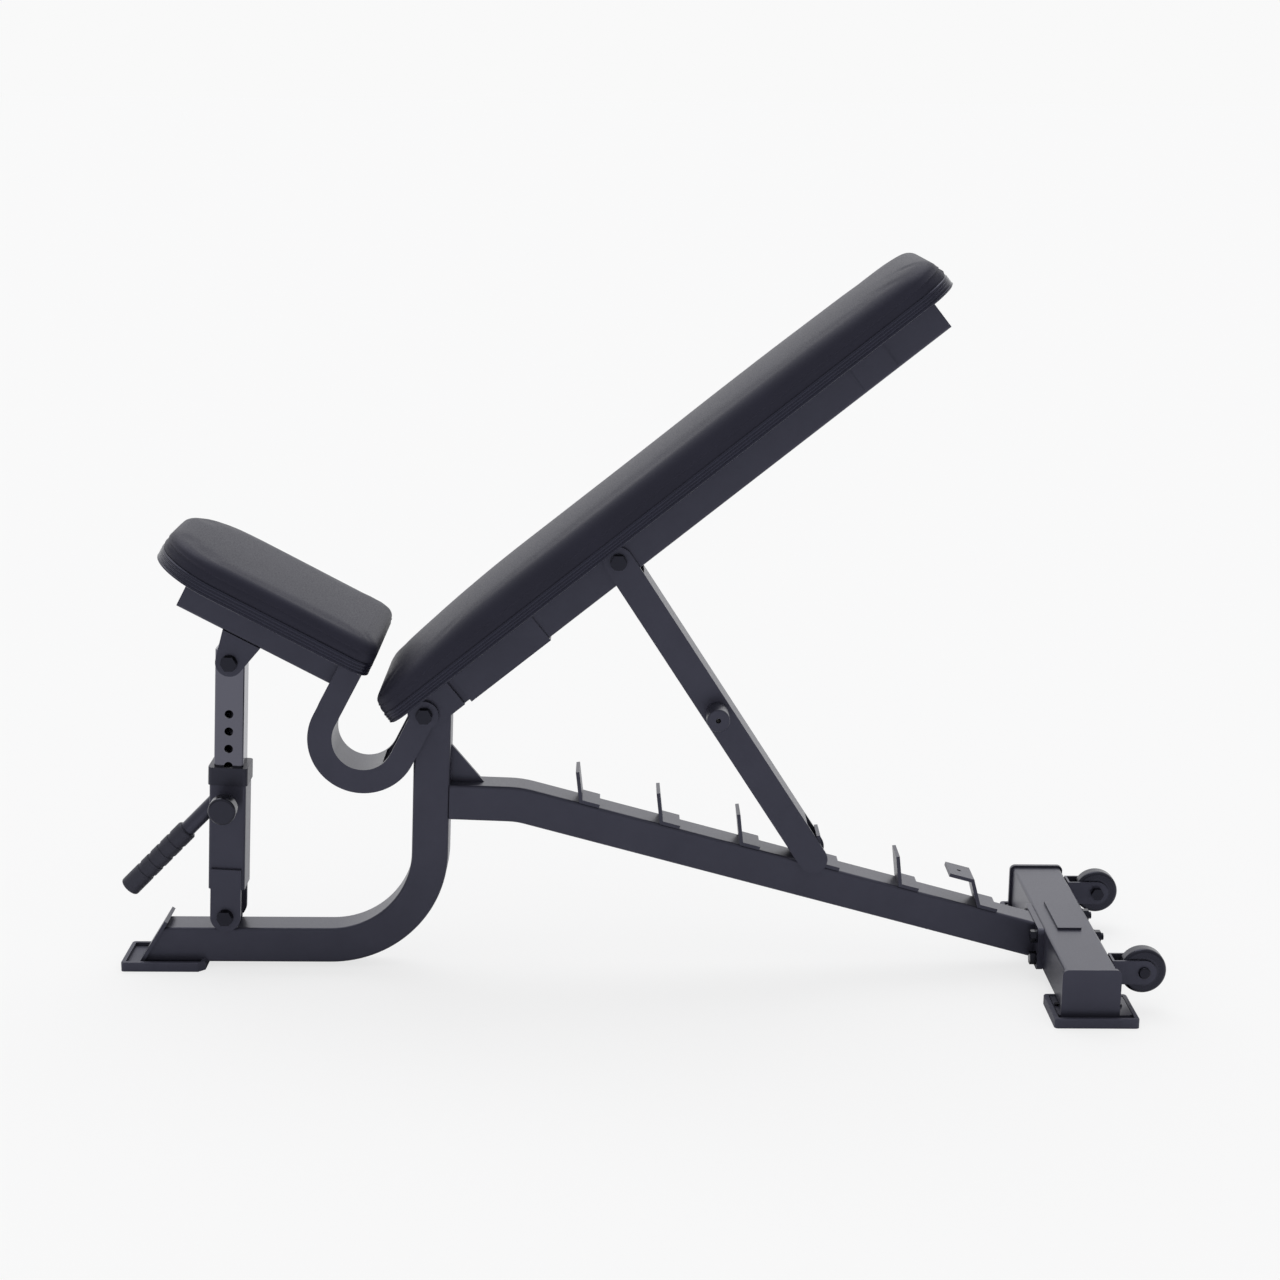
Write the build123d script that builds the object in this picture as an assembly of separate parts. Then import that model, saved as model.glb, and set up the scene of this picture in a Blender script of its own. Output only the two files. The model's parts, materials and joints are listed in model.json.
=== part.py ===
from build123d import *
import os
from math import acos, atan2, cos, degrees, hypot, radians, sin, tan

# Adjustable weight bench: bent spine frame, tilting seat on a pinned leg, backrest on a catch strut.
# X runs from the front foot to the wheels, Y across the bench and Z up. The origin is on the floor
# under the middle of the front foot. Everything is in millimetres.

# Square tube used for the spine, the seat rail and the leg sleeve
TUBE = 50.0
TUBE_WALL = 3.0
TUBE_CORNER = 4.0
HALF = TUBE / 2

# Fits
RUNNING_FIT = 0.05      # radial clearance of every pivot
SOFT_GAP = 0.3          # between a cushion and what carries it
SIDE_GAP = 0.5          # between two plates that turn past each other
LOCK_GAP = 0.3          # between a locking pin and what it locks

# Front foot and base run of the spine
FRONT_FOOT_LENGTH = 116.0
FRONT_FOOT_WIDTH = 84.0
FOOT_HEIGHT = 13.0
FOOT_WALL = 6.0
FOOT_CORNER = 5.0
FOOT_BED = 8.0          # rubber left under what stands in a foot
FRONT_FOOT_CUT = 9.0    # cut rear corners
FOOT_EDGE = 1.0
FRONT_PLATE_X = -35.0   # outer face of the front plate where it meets the rubber
SPINE_BEND = 140.0
POST_LEAN = 1.9         # degrees, top to the rear
POST_FOOT_X = 366.3     # where the post's centre line would meet the base run's
FRONT_PLATE_ANGLE = 58.4
FRONT_PLATE_LENGTH = 72.0
FRONT_PLATE_WIDTH = 60.0
FRONT_PLATE_THICKNESS = 5.0
FRONT_SCREWS = (-15.0, 35.0)

# Main pivot, where the backrest and the seat both turn
PIVOT_X = 366.8
PIVOT_Z = 369.0
POST_ABOVE_PIVOT = 15.0
PIVOT_BOLT_D = 12.0

# Rear beam
BEAM_SLOPE = 15.05
BEAM_CORNER_X = 493.4
BEAM_CORNER_Z = 239.2
BEAM_BEND = 120.0
GUSSET_HEIGHT = 52.0
GUSSET_LENGTH = 46.0
GUSSET_THICKNESS = 6.0

# Catches on the rear beam
CATCH_COUNT = 5
CATCH_FIRST = 82.0      # from the beam's bend to the first fin
STOP_TO_FLANGE = 56.2   # from the last fin's base to the rear flange
CATCH_BASE = 28.0
CATCH_FIN = 44.0
CATCH_LEAN = 21.2       # degrees forward of square to the beam
CATCH_THICKNESS = 5.0
CATCH_WIDTH = 50.0
STOP_FIN = 38.0
STOP_LEAN = 30.0
STOP_FLANGE = 32.0
STOP_HOLE_D = 6.0
REST_CATCH = 3          # fins passed before the one that holds the strut

# Rear cross tube, its end plates, feet and flange
CROSS_X = 1254.0
CROSS_DEPTH = 70.0
CROSS_HEIGHT = 60.0
CROSS_HALF_LENGTH = 205.0
END_PLATE_THICKNESS = 6.0
END_PLATE_OVERHANG = 4.0
END_PLATE_CORNER = 8.0
END_PLATE_RISE = 3.0
REAR_FOOT_LENGTH = 112.0
REAR_FOOT_WIDTH = 88.0
REAR_FOOT_OVERHANG = 14.0   # from the end plate to the foot's outer edge
REAR_FOOT_SHIFT = 7.0       # foot centre behind the cross tube's
FOOT_LEG_LENGTH = 98.0      # end plate's bent leg, along X
FOOT_LEG_WIDTH = 66.0
FOOT_SCREW_HEAD_D = 6.5
FOOT_SCREW_HEAD = 3.0
FOOT_SCREW_D = 4.0
FOOT_SCREW_BITE = 5.0       # into the rubber or past the tube's wall
FOOT_SCREW_RECESS = 3.5     # head pocket in the front sole
FLANGE_THICKNESS = 8.0
FLANGE_WIDTH = 112.0
FLANGE_BOLT_D = 10.0
FLANGE_BOLT_Y = 42.0
FLANGE_BOLT_RISE = 16.0     # bolt rows above and below the cross tube's middle
BADGE_LENGTH = 108.0
BADGE_WIDTH = 33.0
BADGE_THICKNESS = 3.0

# Transport wheels
WHEEL_D = 62.0
WHEEL_WIDTH = 22.0
HUB_D = 40.0
AXLE_D = 10.0
AXLE_HEAD = 4.0
TYRE_EDGE = 5.0
HUB_RIM = 3.0
HUB_BOSS_D = 24.0
HUB_RECESS = 4.0
WHEEL_BEHIND = 43.0         # axle behind the cross tube's rear face
WHEEL_Z = 56.5
WHEEL_Y = 155.0
BRACKET_GAP = 1.0           # wheel to bracket cheek
BRACKET_THICKNESS = 3.0
BRACKET_HEIGHT = 33.0

# Seat: rail, cushion and hook, tilted about the main pivot
SEAT_TILT = -27.8
SEAT_RAIL_FRONT = -362.0
SEAT_RAIL_OFFSET = 0.5      # rail centre line above the pivot
SEAT_MOUNT_HEIGHT = 8.0
SEAT_PAD_FRONT = -410.0
SEAT_PAD_REAR = -96.0
SEAT_FRONT_CORNER = 85.0
SEAT_REAR_CORNER = 26.0
SEAT_MOUNTS = (-320.0, -175.0)
DRAIN_D = 6.0
DRAIN_AT = -340.0

# Cushions
PAD_WIDTH = 250.0
COVER_HEIGHT = 14.0
COVER_WALL = 3.0
COVER_RIBS = 3
COVER_RIB_GROOVE = 1.2
BOARD_THICKNESS = 10.0
CUSHION_HEIGHT = 42.0
CUSHION_EDGE = 13.0
MOUNT_WIDTH = 40.0
MOUNT_SPAN = 190.0
MOUNT_WALL = 3.0
PAD_SCREW_D = 8.0
PAD_SCREW_Y = 75.0
PAD_SCREW_HEAD_D = 14.0
PAD_SCREW_HEAD = 4.0
PAD_SCREW_BITE = 8.0        # into the board

# Hook that carries the seat round the front of the post
HOOK_X = 283.0
HOOK_Z = 334.0
HOOK_RADIUS = 58.5
HOOK_BAND = 33.0
HOOK_THICKNESS = 6.0
HOOK_WEB = 4.0
HOOK_WEB_END = -52.0        # degrees round the ring, clear of the post at the lowest seat
HOOK_PACKING_TOP = 15.0
HOOK_EYE = 3.0          # plate round the pivot, wider than the arm

# Front leg
LEG_FOOT_X = 87.2
LEG_FOOT_Z = 76.0
LEG_HEAD_X = 103.8
LEG_HEAD_Z = 437.5
INNER_TUBE = 40.0
INNER_WALL = 2.5
INNER_BELOW_HEAD = 208.0
INNER_ABOVE_HEAD = 17.0
HEAD_MISFIT = 4.8           # side play of the ear bolt in the inner tube's head
LEG_HOLE_D = 12.0
LEG_HOLE_FIRST = 73.0       # below the ear bolt
LEG_HOLE_PITCH = 24.5
LEG_HOLES = 6
PULL_PIN_AT = LEG_HOLE_FIRST + (LEG_HOLES - 1) * LEG_HOLE_PITCH
EAR_RADIUS = 19.0
EAR_WIDTH = 56.0
COLLAR_ABOVE_PIN = 48.0
COLLAR_TOP = PULL_PIN_AT - COLLAR_ABOVE_PIN
COLLAR_HEIGHT = 25.0
COLLAR_WALL = 2.0
COLLAR_LIP = 4.0
COLLAR_SKIRT = 35.0
SLEEVE_ABOVE_FOOT = 39.0
CLEVIS_RADIUS = 21.0
CLEVIS_THICKNESS = 5.0
CLEVIS_OVERLAP = 30.0
LUG_THICKNESS = 6.0
LUG_RADIUS = 15.0
HANDLE_ANGLE = 45.5
HANDLE_START_Z = 228.6
NECK_D = 22.0
NECK_LENGTH = 50.0
GRIP_D = 29.0
GRIP_LENGTH = 120.0
GRIP_RIDGES = 4
GRIP_GROOVE = 1.0
GRIP_EDGE = 3.0
GRIP_END = 11.0         # rubber beyond the core

# Pull pin on the leg sleeve
PIN_D = 10.0
PIN_HOUSING_D = 22.0
PIN_HOUSING_LENGTH = 24.0
PIN_HOUSING_END = 3.0
PIN_CHAMBER_D = 15.4
PIN_STEM_D = 8.0
PIN_TRAVEL = 8.0
PIN_COLLAR_D = 15.0
PIN_COLLAR = 2.5
SPRING_WIRE = 1.2
SPRING_RADIUS = 6.3
SPRING_TURNS = 4
SPRING_ROOM = 1.9       # left between the pulled collar and the spring
KNOB_D = 38.0
KNOB_LENGTH = 24.0
KNOB_GAP = 0.3
KNOB_EDGE = 4.0

# Backrest: rail, ears and cushion, tilted about the main pivot
BACK_TILT = 38.7
BACK_RAIL_START = 42.0
BACK_RAIL_END = 872.0
BACK_RAIL_OFFSET = 2.0      # rail centre line above the pivot
BACK_RAIL_WIDTH = 52.0
BACK_PAD_START = -24.0
BACK_PAD_END = 901.0
BACK_LOWER_CORNER = 30.0
BACK_UPPER_CORNER = 42.0
BACK_LOWER_MOUNT = 150.0
BACK_UPPER_MOUNT = 760.5
SADDLE_LENGTH = 53.0
SADDLE_THICKNESS = 3.0
SADDLE_DEPTH = 46.0
BACK_EAR_THICKNESS = 5.5
BACK_EAR_RADIUS = 23.0
BACK_EAR_END = 52.0
DOUBLER_START = 61.0
DOUBLER_END = 198.5
DOUBLER_THICKNESS = 3.0

# Strut between the backrest rail and the catches
STRUT_BOLT_S = 337.0        # from the main pivot along the rail
STRUT_GAP = 1.0
STRUT_THICKNESS = 4.0
STRUT_WIDTH = 40.0
STRUT_WEB_TOP = 32.0        # web starts below the rail
STRUT_WEB_BOTTOM = 46.0
STRUT_PIN_D = 16.0
STRUT_HANDLE_D = 31.0
STRUT_HANDLE_REACH = 40.0
STRUT_HANDLE_S = 248.0      # down the strut from its bolt
STRUT_HANDLE_EDGE = 2.0
STRUT_HANDLE_HOLE_D = 7.0

# Pivot bolts
BOLT_HEAD_RATIO = 1.6
BOLT_HEAD = 7.0
WASHER = 2.0
WASHER_RATIO = 1.2
NUT = 8.0
THREAD_END = 4.0        # thread beyond the nut

NEAR = -1
FAR = 1


def side_view(x, z, tilt=0.0):
    """Plane across the bench at a point: its own x runs along the tilt, its y square to it."""
    a = radians(tilt)
    return Plane(origin=(x, 0, z), x_dir=(cos(a), 0, sin(a)), z_dir=(0, -1, 0))


def deck(x, z, tilt):
    """Plane parallel to a cushion: its own x runs along the tilt, its y is +Y, its z the normal."""
    a = radians(tilt)
    return Plane(origin=(x, 0, z), x_dir=(cos(a), 0, sin(a)), z_dir=(-sin(a), 0, cos(a)))


def slab(plane, profile, start, end):
    """Side-view profile carried across the bench from Y = start to Y = end."""
    face = Pos(0, start, 0) * (plane * profile)
    return extrude(face, amount=end - start, dir=(0, 1, 0))


def pair(plane, profile, inner, outer):
    """The same plate on the near and on the far side."""
    return [slab(plane, profile, inner, outer), slab(plane, profile, -outer, -inner)]


def rod(x, z, diameter, start, end):
    """Round bar across the bench."""
    return slab(side_view(x, z), Circle(diameter / 2), start, end)


def point_on(x, z, tilt, along, across=0.0):
    """World X and Z of a place given in a tilted side-view frame."""
    a = radians(tilt)
    return x + along * cos(a) - across * sin(a), z + along * sin(a) + across * cos(a)


def square_tube(points, bend, width, height, wall, corner):
    """Hollow tube bent through points of the centre plane; width runs along Y."""
    track = [(x, 0, z) for x, z in points]
    path = FilletPolyline(*track, radius=bend) if len(track) > 2 else Line(*track)
    start = Plane(origin=path @ 0, x_dir=(0, 1, 0), z_dir=path % 0)
    outer = sweep(start * RectangleRounded(width, height, corner), path=path)
    inner_size = (width - 2 * wall, height - 2 * wall)
    inner = sweep(start * RectangleRounded(*inner_size, max(corner - wall, 0.8)), path=path)
    return outer - inner


def below_head(distance):
    """Place on the leg's axis, measured down from the ear bolt."""
    return point_on(LEG_HEAD_X, LEG_HEAD_Z, LEG_TILT, -distance)


def onto(x, z, tilt, from_x, from_z):
    """Distances along and across a tilted side-view frame at (x, z) of a world place."""
    a = radians(tilt)
    dx, dz = from_x - x, from_z - z
    return dx * cos(a) + dz * sin(a), dz * cos(a) - dx * sin(a)


def bar(axis, diameter, start, end):
    """Round bar along a plane's normal, between two distances from the plane."""
    return extrude(axis.offset(start) * Circle(diameter / 2), end - start)


def bolt_and_nut(axis, diameter, head_seat, nut_seat):
    """Hex bolt along a plane's normal and its nut, a washer under each, as two solids."""
    across = diameter * BOLT_HEAD_RATIO
    washer_d = across * WASHER_RATIO
    hexagon = RegularPolygon(across / 2, 6, major_radius=False)
    head = head_seat - WASHER - BOLT_HEAD
    tip = nut_seat + WASHER + NUT + THREAD_END
    bolt = extrude(axis.offset(head) * hexagon, BOLT_HEAD)
    bolt += bar(axis, washer_d, head_seat - WASHER, head_seat)
    bolt += bar(axis, diameter, head, tip)
    nut = extrude(axis.offset(nut_seat + WASHER) * hexagon, NUT)
    nut += bar(axis, washer_d, nut_seat, nut_seat + WASHER)
    return [bolt, nut - bar(axis, diameter, head, tip)]


def through_bolt(x, z, diameter, reach):
    """Bolt across the bench, its head on the near side."""
    axis = Plane(origin=(x, 0, z), x_dir=(1, 0, 0), z_dir=(0, 1, 0))
    return bolt_and_nut(axis, diameter, -reach, reach)


# Places that follow from the driving sizes
SPINE_Z = FOOT_BED + HALF
LEG_TILT = degrees(atan2(LEG_HEAD_Z - LEG_FOOT_Z, LEG_HEAD_X - LEG_FOOT_X))
LEG_LENGTH = hypot(LEG_HEAD_Z - LEG_FOOT_Z, LEG_HEAD_X - LEG_FOOT_X)
POST_TILT = 90.0 - POST_LEAN
CROSS_FRONT = CROSS_X - CROSS_DEPTH / 2
CROSS_REAR = CROSS_X + CROSS_DEPTH / 2
CROSS_MID_Z = FOOT_HEIGHT + CROSS_HEIGHT / 2
CROSS_TOP = FOOT_HEIGHT + CROSS_HEIGHT
PIVOT_HOLE_D = PIVOT_BOLT_D + 2 * RUNNING_FIT
EAR_INNER = BACK_RAIL_WIDTH / 2
EAR_OUTER = EAR_INNER + BACK_EAR_THICKNESS
HOOK_INNER = EAR_OUTER + SIDE_GAP
HOOK_OUTER = HOOK_INNER + HOOK_THICKNESS
STRUT_INNER = BACK_RAIL_WIDTH / 2 + STRUT_GAP
STRUT_OUTER = STRUT_INNER + STRUT_THICKNESS
WHEEL_X = CROSS_REAR + WHEEL_BEHIND
BACK_RAIL_BOTTOM = BACK_RAIL_OFFSET - HALF
BACK_PAD_BOTTOM = BACK_RAIL_OFFSET + HALF + MOUNT_WALL
SEAT_RAIL_BOTTOM = SEAT_RAIL_OFFSET - HALF
SEAT_PAD_BOTTOM = SEAT_RAIL_OFFSET + HALF + SEAT_MOUNT_HEIGHT
CLEVIS_OUTER = HALF + CLEVIS_THICKNESS
LUG_OUTER = HALF - SIDE_GAP
STRUT_X, STRUT_Z = point_on(PIVOT_X, PIVOT_Z, BACK_TILT, STRUT_BOLT_S, BACK_RAIL_OFFSET)

BEAM = side_view(BEAM_CORNER_X, BEAM_CORNER_Z, -BEAM_SLOPE)
PIN_SEAT = STRUT_PIN_D / 2 + LOCK_GAP

# The fins are spread evenly from the first to the last, which ends short of the rear flange
BEAM_FALL = radians(BEAM_SLOPE)
BEAM_TOP_END = (CROSS_FRONT - FLANGE_THICKNESS - BEAM_CORNER_X - HALF * sin(BEAM_FALL)) / cos(BEAM_FALL)
LAST_FIN = BEAM_TOP_END - STOP_TO_FLANGE - CATCH_BASE + CATCH_THICKNESS / 2 / cos(radians(STOP_LEAN))
CATCH_PITCH = (LAST_FIN - CATCH_FIRST) / CATCH_COUNT


def catch_front(index):
    """Foot of a fin's front face, along the beam from its bend."""
    lean = CATCH_LEAN if index < CATCH_COUNT else STOP_LEAN
    return CATCH_FIRST + index * CATCH_PITCH - CATCH_THICKNESS / 2 / cos(radians(lean))


# The strut's pin lies on the beam and against one of the fins
LEAN = radians(CATCH_LEAN)
PIN_ALONG = catch_front(REST_CATCH) - PIN_SEAT * (1 + sin(LEAN)) / cos(LEAN)
PIN_X, PIN_Z = point_on(BEAM_CORNER_X, BEAM_CORNER_Z, -BEAM_SLOPE, PIN_ALONG, HALF + PIN_SEAT)
STRUT_LENGTH = hypot(PIN_X - STRUT_X, PIN_Z - STRUT_Z)
STRUT_TILT = degrees(atan2(PIN_Z - STRUT_Z, PIN_X - STRUT_X))
HANDLE_X, HANDLE_Z = point_on(STRUT_X, STRUT_Z, STRUT_TILT, STRUT_HANDLE_S)

BACK = side_view(PIVOT_X, PIVOT_Z, BACK_TILT)
SEAT = side_view(PIVOT_X, PIVOT_Z, SEAT_TILT)
LEG = side_view(LEG_HEAD_X, LEG_HEAD_Z, LEG_TILT)
STRUT = side_view(STRUT_X, STRUT_Z, STRUT_TILT)
FRONT_END = side_view(FRONT_PLATE_X, FOOT_BED, FRONT_PLATE_ANGLE)


def span(start, end, low, high):
    """Rectangle between two stations and two offsets of a side-view frame."""
    return Pos((start + end) / 2, (low + high) / 2) * Rectangle(end - start, high - low)


def hole(x, z, diameter):
    """Cutter across the whole bench."""
    return rod(x, z, diameter, -CROSS_HALF_LENGTH, CROSS_HALF_LENGTH)


# ---- Spine, rear beam and catches ----

def main_frame_tube():
    """One tube: base run, wide bend and leaning post, cut for the front plate."""
    rise, _ = onto(POST_FOOT_X, SPINE_Z, POST_TILT, PIVOT_X, PIVOT_Z)
    top = point_on(POST_FOOT_X, SPINE_Z, POST_TILT, rise + POST_ABOVE_PIVOT)
    points = [(FRONT_PLATE_X - TUBE, SPINE_Z), (POST_FOOT_X, SPINE_Z), top]
    tube = square_tube(points, SPINE_BEND, TUBE, TUBE, TUBE_WALL, TUBE_CORNER)
    tube -= slab(FRONT_END, span(-TUBE, 3 * TUBE, -FRONT_PLATE_THICKNESS, 2 * TUBE), -TUBE, TUBE)
    tube -= hole(PIVOT_X, PIVOT_Z, PIVOT_HOLE_D)
    for x in FRONT_SCREWS:
        tube -= Pos(x, 0, FOOT_BED) * Cylinder(FOOT_SCREW_D / 2 + RUNNING_FIT, 3 * TUBE_WALL)
    return tube


def front_end_plate():
    """Inclined plate that closes the spine and stands above it."""
    outline = span(0, FRONT_PLATE_LENGTH, -FRONT_PLATE_THICKNESS, 0)
    plate = slab(FRONT_END, outline, -FRONT_PLATE_WIDTH / 2, FRONT_PLATE_WIDTH / 2)
    return plate - Pos(FRONT_PLATE_X, 0, 0) * Box(4 * TUBE, 4 * TUBE, 2 * FOOT_BED)


def rear_beam():
    """Tube from the post's rear face, bent down to the rear flange."""
    reach, _ = onto(POST_FOOT_X, SPINE_Z, POST_TILT, BEAM_CORNER_X, BEAM_CORNER_Z)
    start = point_on(POST_FOOT_X, SPINE_Z, POST_TILT, reach, -HALF)
    end = point_on(BEAM_CORNER_X, BEAM_CORNER_Z, -BEAM_SLOPE, CROSS_X - BEAM_CORNER_X)
    points = [start, (BEAM_CORNER_X, BEAM_CORNER_Z), end]
    tube = square_tube(points, BEAM_BEND, TUBE, TUBE, TUBE_WALL, TUBE_CORNER)
    face = Plane.YZ.offset(CROSS_FRONT - FLANGE_THICKNESS)
    return split(tube, bisect_by=face, keep=Keep.BOTTOM)


def gusset_plate():
    """Flat triangle in the centre plane between the post and the beam's first run."""
    reach, _ = onto(POST_FOOT_X, SPINE_Z, POST_TILT, BEAM_CORNER_X, BEAM_CORNER_Z)
    corner = side_view(*point_on(POST_FOOT_X, SPINE_Z, POST_TILT, reach + HALF, -HALF), POST_TILT)
    outline = make_face(Polyline((0, 0), (GUSSET_HEIGHT, 0), (0, -GUSSET_LENGTH), close=True))
    return slab(corner, outline, -GUSSET_THICKNESS / 2, GUSSET_THICKNESS / 2)


def catch_profile(index):
    """Bent plate: a base on the beam and a fin that leans over the pin."""
    last = index == CATCH_COUNT
    lean = radians(STOP_LEAN if last else CATCH_LEAN)
    height = STOP_FIN if last else CATCH_FIN
    foot = catch_front(index)
    t = CATCH_THICKNESS
    tip = (foot - height * sin(lean), HALF + height * cos(lean))
    back = foot + t * cos(lean)
    inner = back - t * (1 - sin(lean)) * tan(lean)
    points = [(foot, HALF), tip]
    if last:
        points += [(tip[0] - STOP_FLANGE, tip[1]), (tip[0] - STOP_FLANGE, tip[1] + t)]
        top = (tip[1] + t - HALF - t * sin(lean)) * tan(lean)
        points += [(back - top, tip[1] + t)]
    else:
        points += [(tip[0] + t * cos(lean), tip[1] + t * sin(lean))]
    points += [(inner, HALF + t), (foot + CATCH_BASE, HALF + t), (foot + CATCH_BASE, HALF)]
    return make_face(Polyline(*points, close=True))


def catch_plate(index):
    return slab(BEAM, catch_profile(index), -CATCH_WIDTH / 2, CATCH_WIDTH / 2)


def end_stop_catch():
    """Last catch, for the flat backrest, with a top flange bent over the pin."""
    plate = catch_plate(CATCH_COUNT)
    lean = radians(STOP_LEAN)
    along = catch_front(CATCH_COUNT) - STOP_FIN * sin(lean) - STOP_FLANGE / 2
    x, z = point_on(BEAM_CORNER_X, BEAM_CORNER_Z, -BEAM_SLOPE, along, HALF + STOP_FIN)
    return plate - Pos(x, 0, z) * Cylinder(STOP_HOLE_D / 2, TUBE)


# ---- Rear cross tube, feet and wheels ----

def flange_places():
    return [(y, CROSS_MID_Z + side * FLANGE_BOLT_RISE)
            for y in (-FLANGE_BOLT_Y, FLANGE_BOLT_Y) for side in (-1, 1)]


def lengthwise(y, z):
    """Plane whose normal runs along the bench."""
    return Plane(origin=(0, y, z), x_dir=(0, 1, 0), z_dir=(1, 0, 0))


def beam_flange():
    """Plate on the beam's end, bolted to the cross tube."""
    middle = Pos(CROSS_FRONT - FLANGE_THICKNESS / 2, 0, CROSS_MID_Z)
    plate = middle * Box(FLANGE_THICKNESS, FLANGE_WIDTH, CROSS_HEIGHT)
    plate = fillet(plate.edges().filter_by(Axis.X), END_PLATE_CORNER)
    for y, z in flange_places():
        plate -= bar(lengthwise(y, z), FLANGE_BOLT_D + 2 * RUNNING_FIT, CROSS_FRONT - TUBE, CROSS_FRONT)
    return plate


def flange_bolts():
    """Four through bolts, heads in front of the flange and nuts behind the cross tube."""
    seat = CROSS_FRONT - FLANGE_THICKNESS
    bolts = []
    for y, z in flange_places():
        bolts += bolt_and_nut(lengthwise(y, z), FLANGE_BOLT_D, seat, CROSS_REAR)
    return bolts


def rear_foot_centre(side):
    y = CROSS_HALF_LENGTH + END_PLATE_THICKNESS + REAR_FOOT_OVERHANG - REAR_FOOT_WIDTH / 2
    return CROSS_X + REAR_FOOT_SHIFT, side * y


def rear_cross_tube():
    tube = Box(CROSS_DEPTH, 2 * CROSS_HALF_LENGTH, CROSS_HEIGHT)
    tube = fillet(tube.edges().filter_by(Axis.Y), TUBE_CORNER)
    bore = (CROSS_DEPTH - 2 * TUBE_WALL, 2 * CROSS_HALF_LENGTH, CROSS_HEIGHT - 2 * TUBE_WALL)
    tube = Pos(CROSS_X, 0, CROSS_MID_Z) * (tube - Box(*bore))
    for y, z in flange_places():
        tube -= bar(lengthwise(y, z), FLANGE_BOLT_D + 2 * RUNNING_FIT, CROSS_FRONT, CROSS_REAR)
    return tube


def cross_tube_end_plates():
    """Bent plates: each closes the tube, stands a little proud of it and turns under it as a leg."""
    height = CROSS_TOP + END_PLATE_RISE - FOOT_BED
    face = Box(CROSS_DEPTH + 2 * END_PLATE_OVERHANG, END_PLATE_THICKNESS, height)
    face = fillet(face.edges().filter_by(Axis.Y).group_by(Axis.Z)[-1], END_PLATE_CORNER)
    leg_height = FOOT_HEIGHT - FOOT_BED
    leg = Box(FOOT_LEG_LENGTH, FOOT_LEG_WIDTH, leg_height)
    leg = fillet(leg.edges().filter_by(Axis.Z), FOOT_CORNER)
    plates = []
    for side in (NEAR, FAR):
        x, _ = rear_foot_centre(side)
        outer = CROSS_HALF_LENGTH + END_PLATE_THICKNESS
        upright = Pos(CROSS_X, side * (outer - END_PLATE_THICKNESS / 2), FOOT_BED + height / 2) * face
        under = Pos(x, side * (outer - FOOT_LEG_WIDTH / 2), FOOT_BED + leg_height / 2) * leg
        plate = upright + under
        for sx, sy in rear_screws(side):
            plate -= Pos(sx, sy, FOOT_HEIGHT) * Cylinder(FOOT_SCREW_D / 2 + RUNNING_FIT, TUBE)
        plates.append(plate)
    return plates


def rear_screws(side):
    """Screw places in front of and behind the cross tube, on the end plate's leg."""
    x, _ = rear_foot_centre(side)
    y = side * (CROSS_HALF_LENGTH + END_PLATE_THICKNESS - FOOT_LEG_WIDTH / 2)
    front = (x - FOOT_LEG_LENGTH / 2 + CROSS_FRONT) / 2
    rear = (CROSS_REAR + x + FOOT_LEG_LENGTH / 2) / 2
    return [(front, y), (rear, y)]


def foot_tray(length, width):
    """Rubber tray with a raised rim, standing on the floor at the origin."""
    tray = Pos(0, 0, FOOT_HEIGHT / 2) * Box(length, width, FOOT_HEIGHT)
    tray = fillet(tray.edges().filter_by(Axis.Z), FOOT_CORNER)
    tray = chamfer(tray.edges().group_by(Axis.Z)[-1], FOOT_EDGE)
    pocket = Box(length - 2 * FOOT_WALL, width - 2 * FOOT_WALL, FOOT_HEIGHT)
    return tray - Pos(0, 0, FOOT_BED + FOOT_HEIGHT / 2) * pocket


def front_foot():
    """Tray with cut rear corners, its rear rim open where the spine leaves it."""
    tray = foot_tray(FRONT_FOOT_LENGTH, FRONT_FOOT_WIDTH)
    half_length, half_width = FRONT_FOOT_LENGTH / 2, FRONT_FOOT_WIDTH / 2
    for side in (NEAR, FAR):
        corner = [(half_length - FRONT_FOOT_CUT, side * half_width), (half_length, side * half_width),
                  (half_length, side * (half_width - FRONT_FOOT_CUT))]
        tray -= extrude(make_face(Polyline(*corner, close=True)), FOOT_HEIGHT, both=True)
    gate = Box(FRONT_FOOT_LENGTH, TUBE + 2 * SOFT_GAP, FOOT_HEIGHT)
    tray -= Pos(half_length, 0, FOOT_BED + FOOT_HEIGHT / 2) * gate
    for x in FRONT_SCREWS:
        tray -= Pos(x, 0, 0) * Cylinder(FOOT_SCREW_HEAD_D / 2 + SOFT_GAP, 2 * FOOT_SCREW_RECESS)
        tray -= Pos(x, 0, 0) * Cylinder(FOOT_SCREW_D / 2 + RUNNING_FIT, 4 * FOOT_HEIGHT)
    return tray


def rear_foot(side):
    """Tray under one end of the cross tube."""
    x, y = rear_foot_centre(side)
    tray = Pos(x, y, 0) * foot_tray(REAR_FOOT_LENGTH, REAR_FOOT_WIDTH)
    for sx, sy in rear_screws(side):
        depth = 2 * FOOT_SCREW_BITE
        tray -= Pos(sx, sy, FOOT_BED) * Cylinder(FOOT_SCREW_D / 2 + RUNNING_FIT, depth)
    return tray


def screw(x, y, seat, tip):
    """Pan-head screw whose head lies on the side of its seat away from the tip."""
    way = 1 if seat > tip else -1
    head = Pos(0, 0, seat + way * FOOT_SCREW_HEAD / 2) * Cylinder(FOOT_SCREW_HEAD_D / 2, FOOT_SCREW_HEAD)
    shank = Pos(0, 0, (seat + tip) / 2) * Cylinder(FOOT_SCREW_D / 2, abs(seat - tip))
    return Pos(x, y, 0) * (head + shank)


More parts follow.
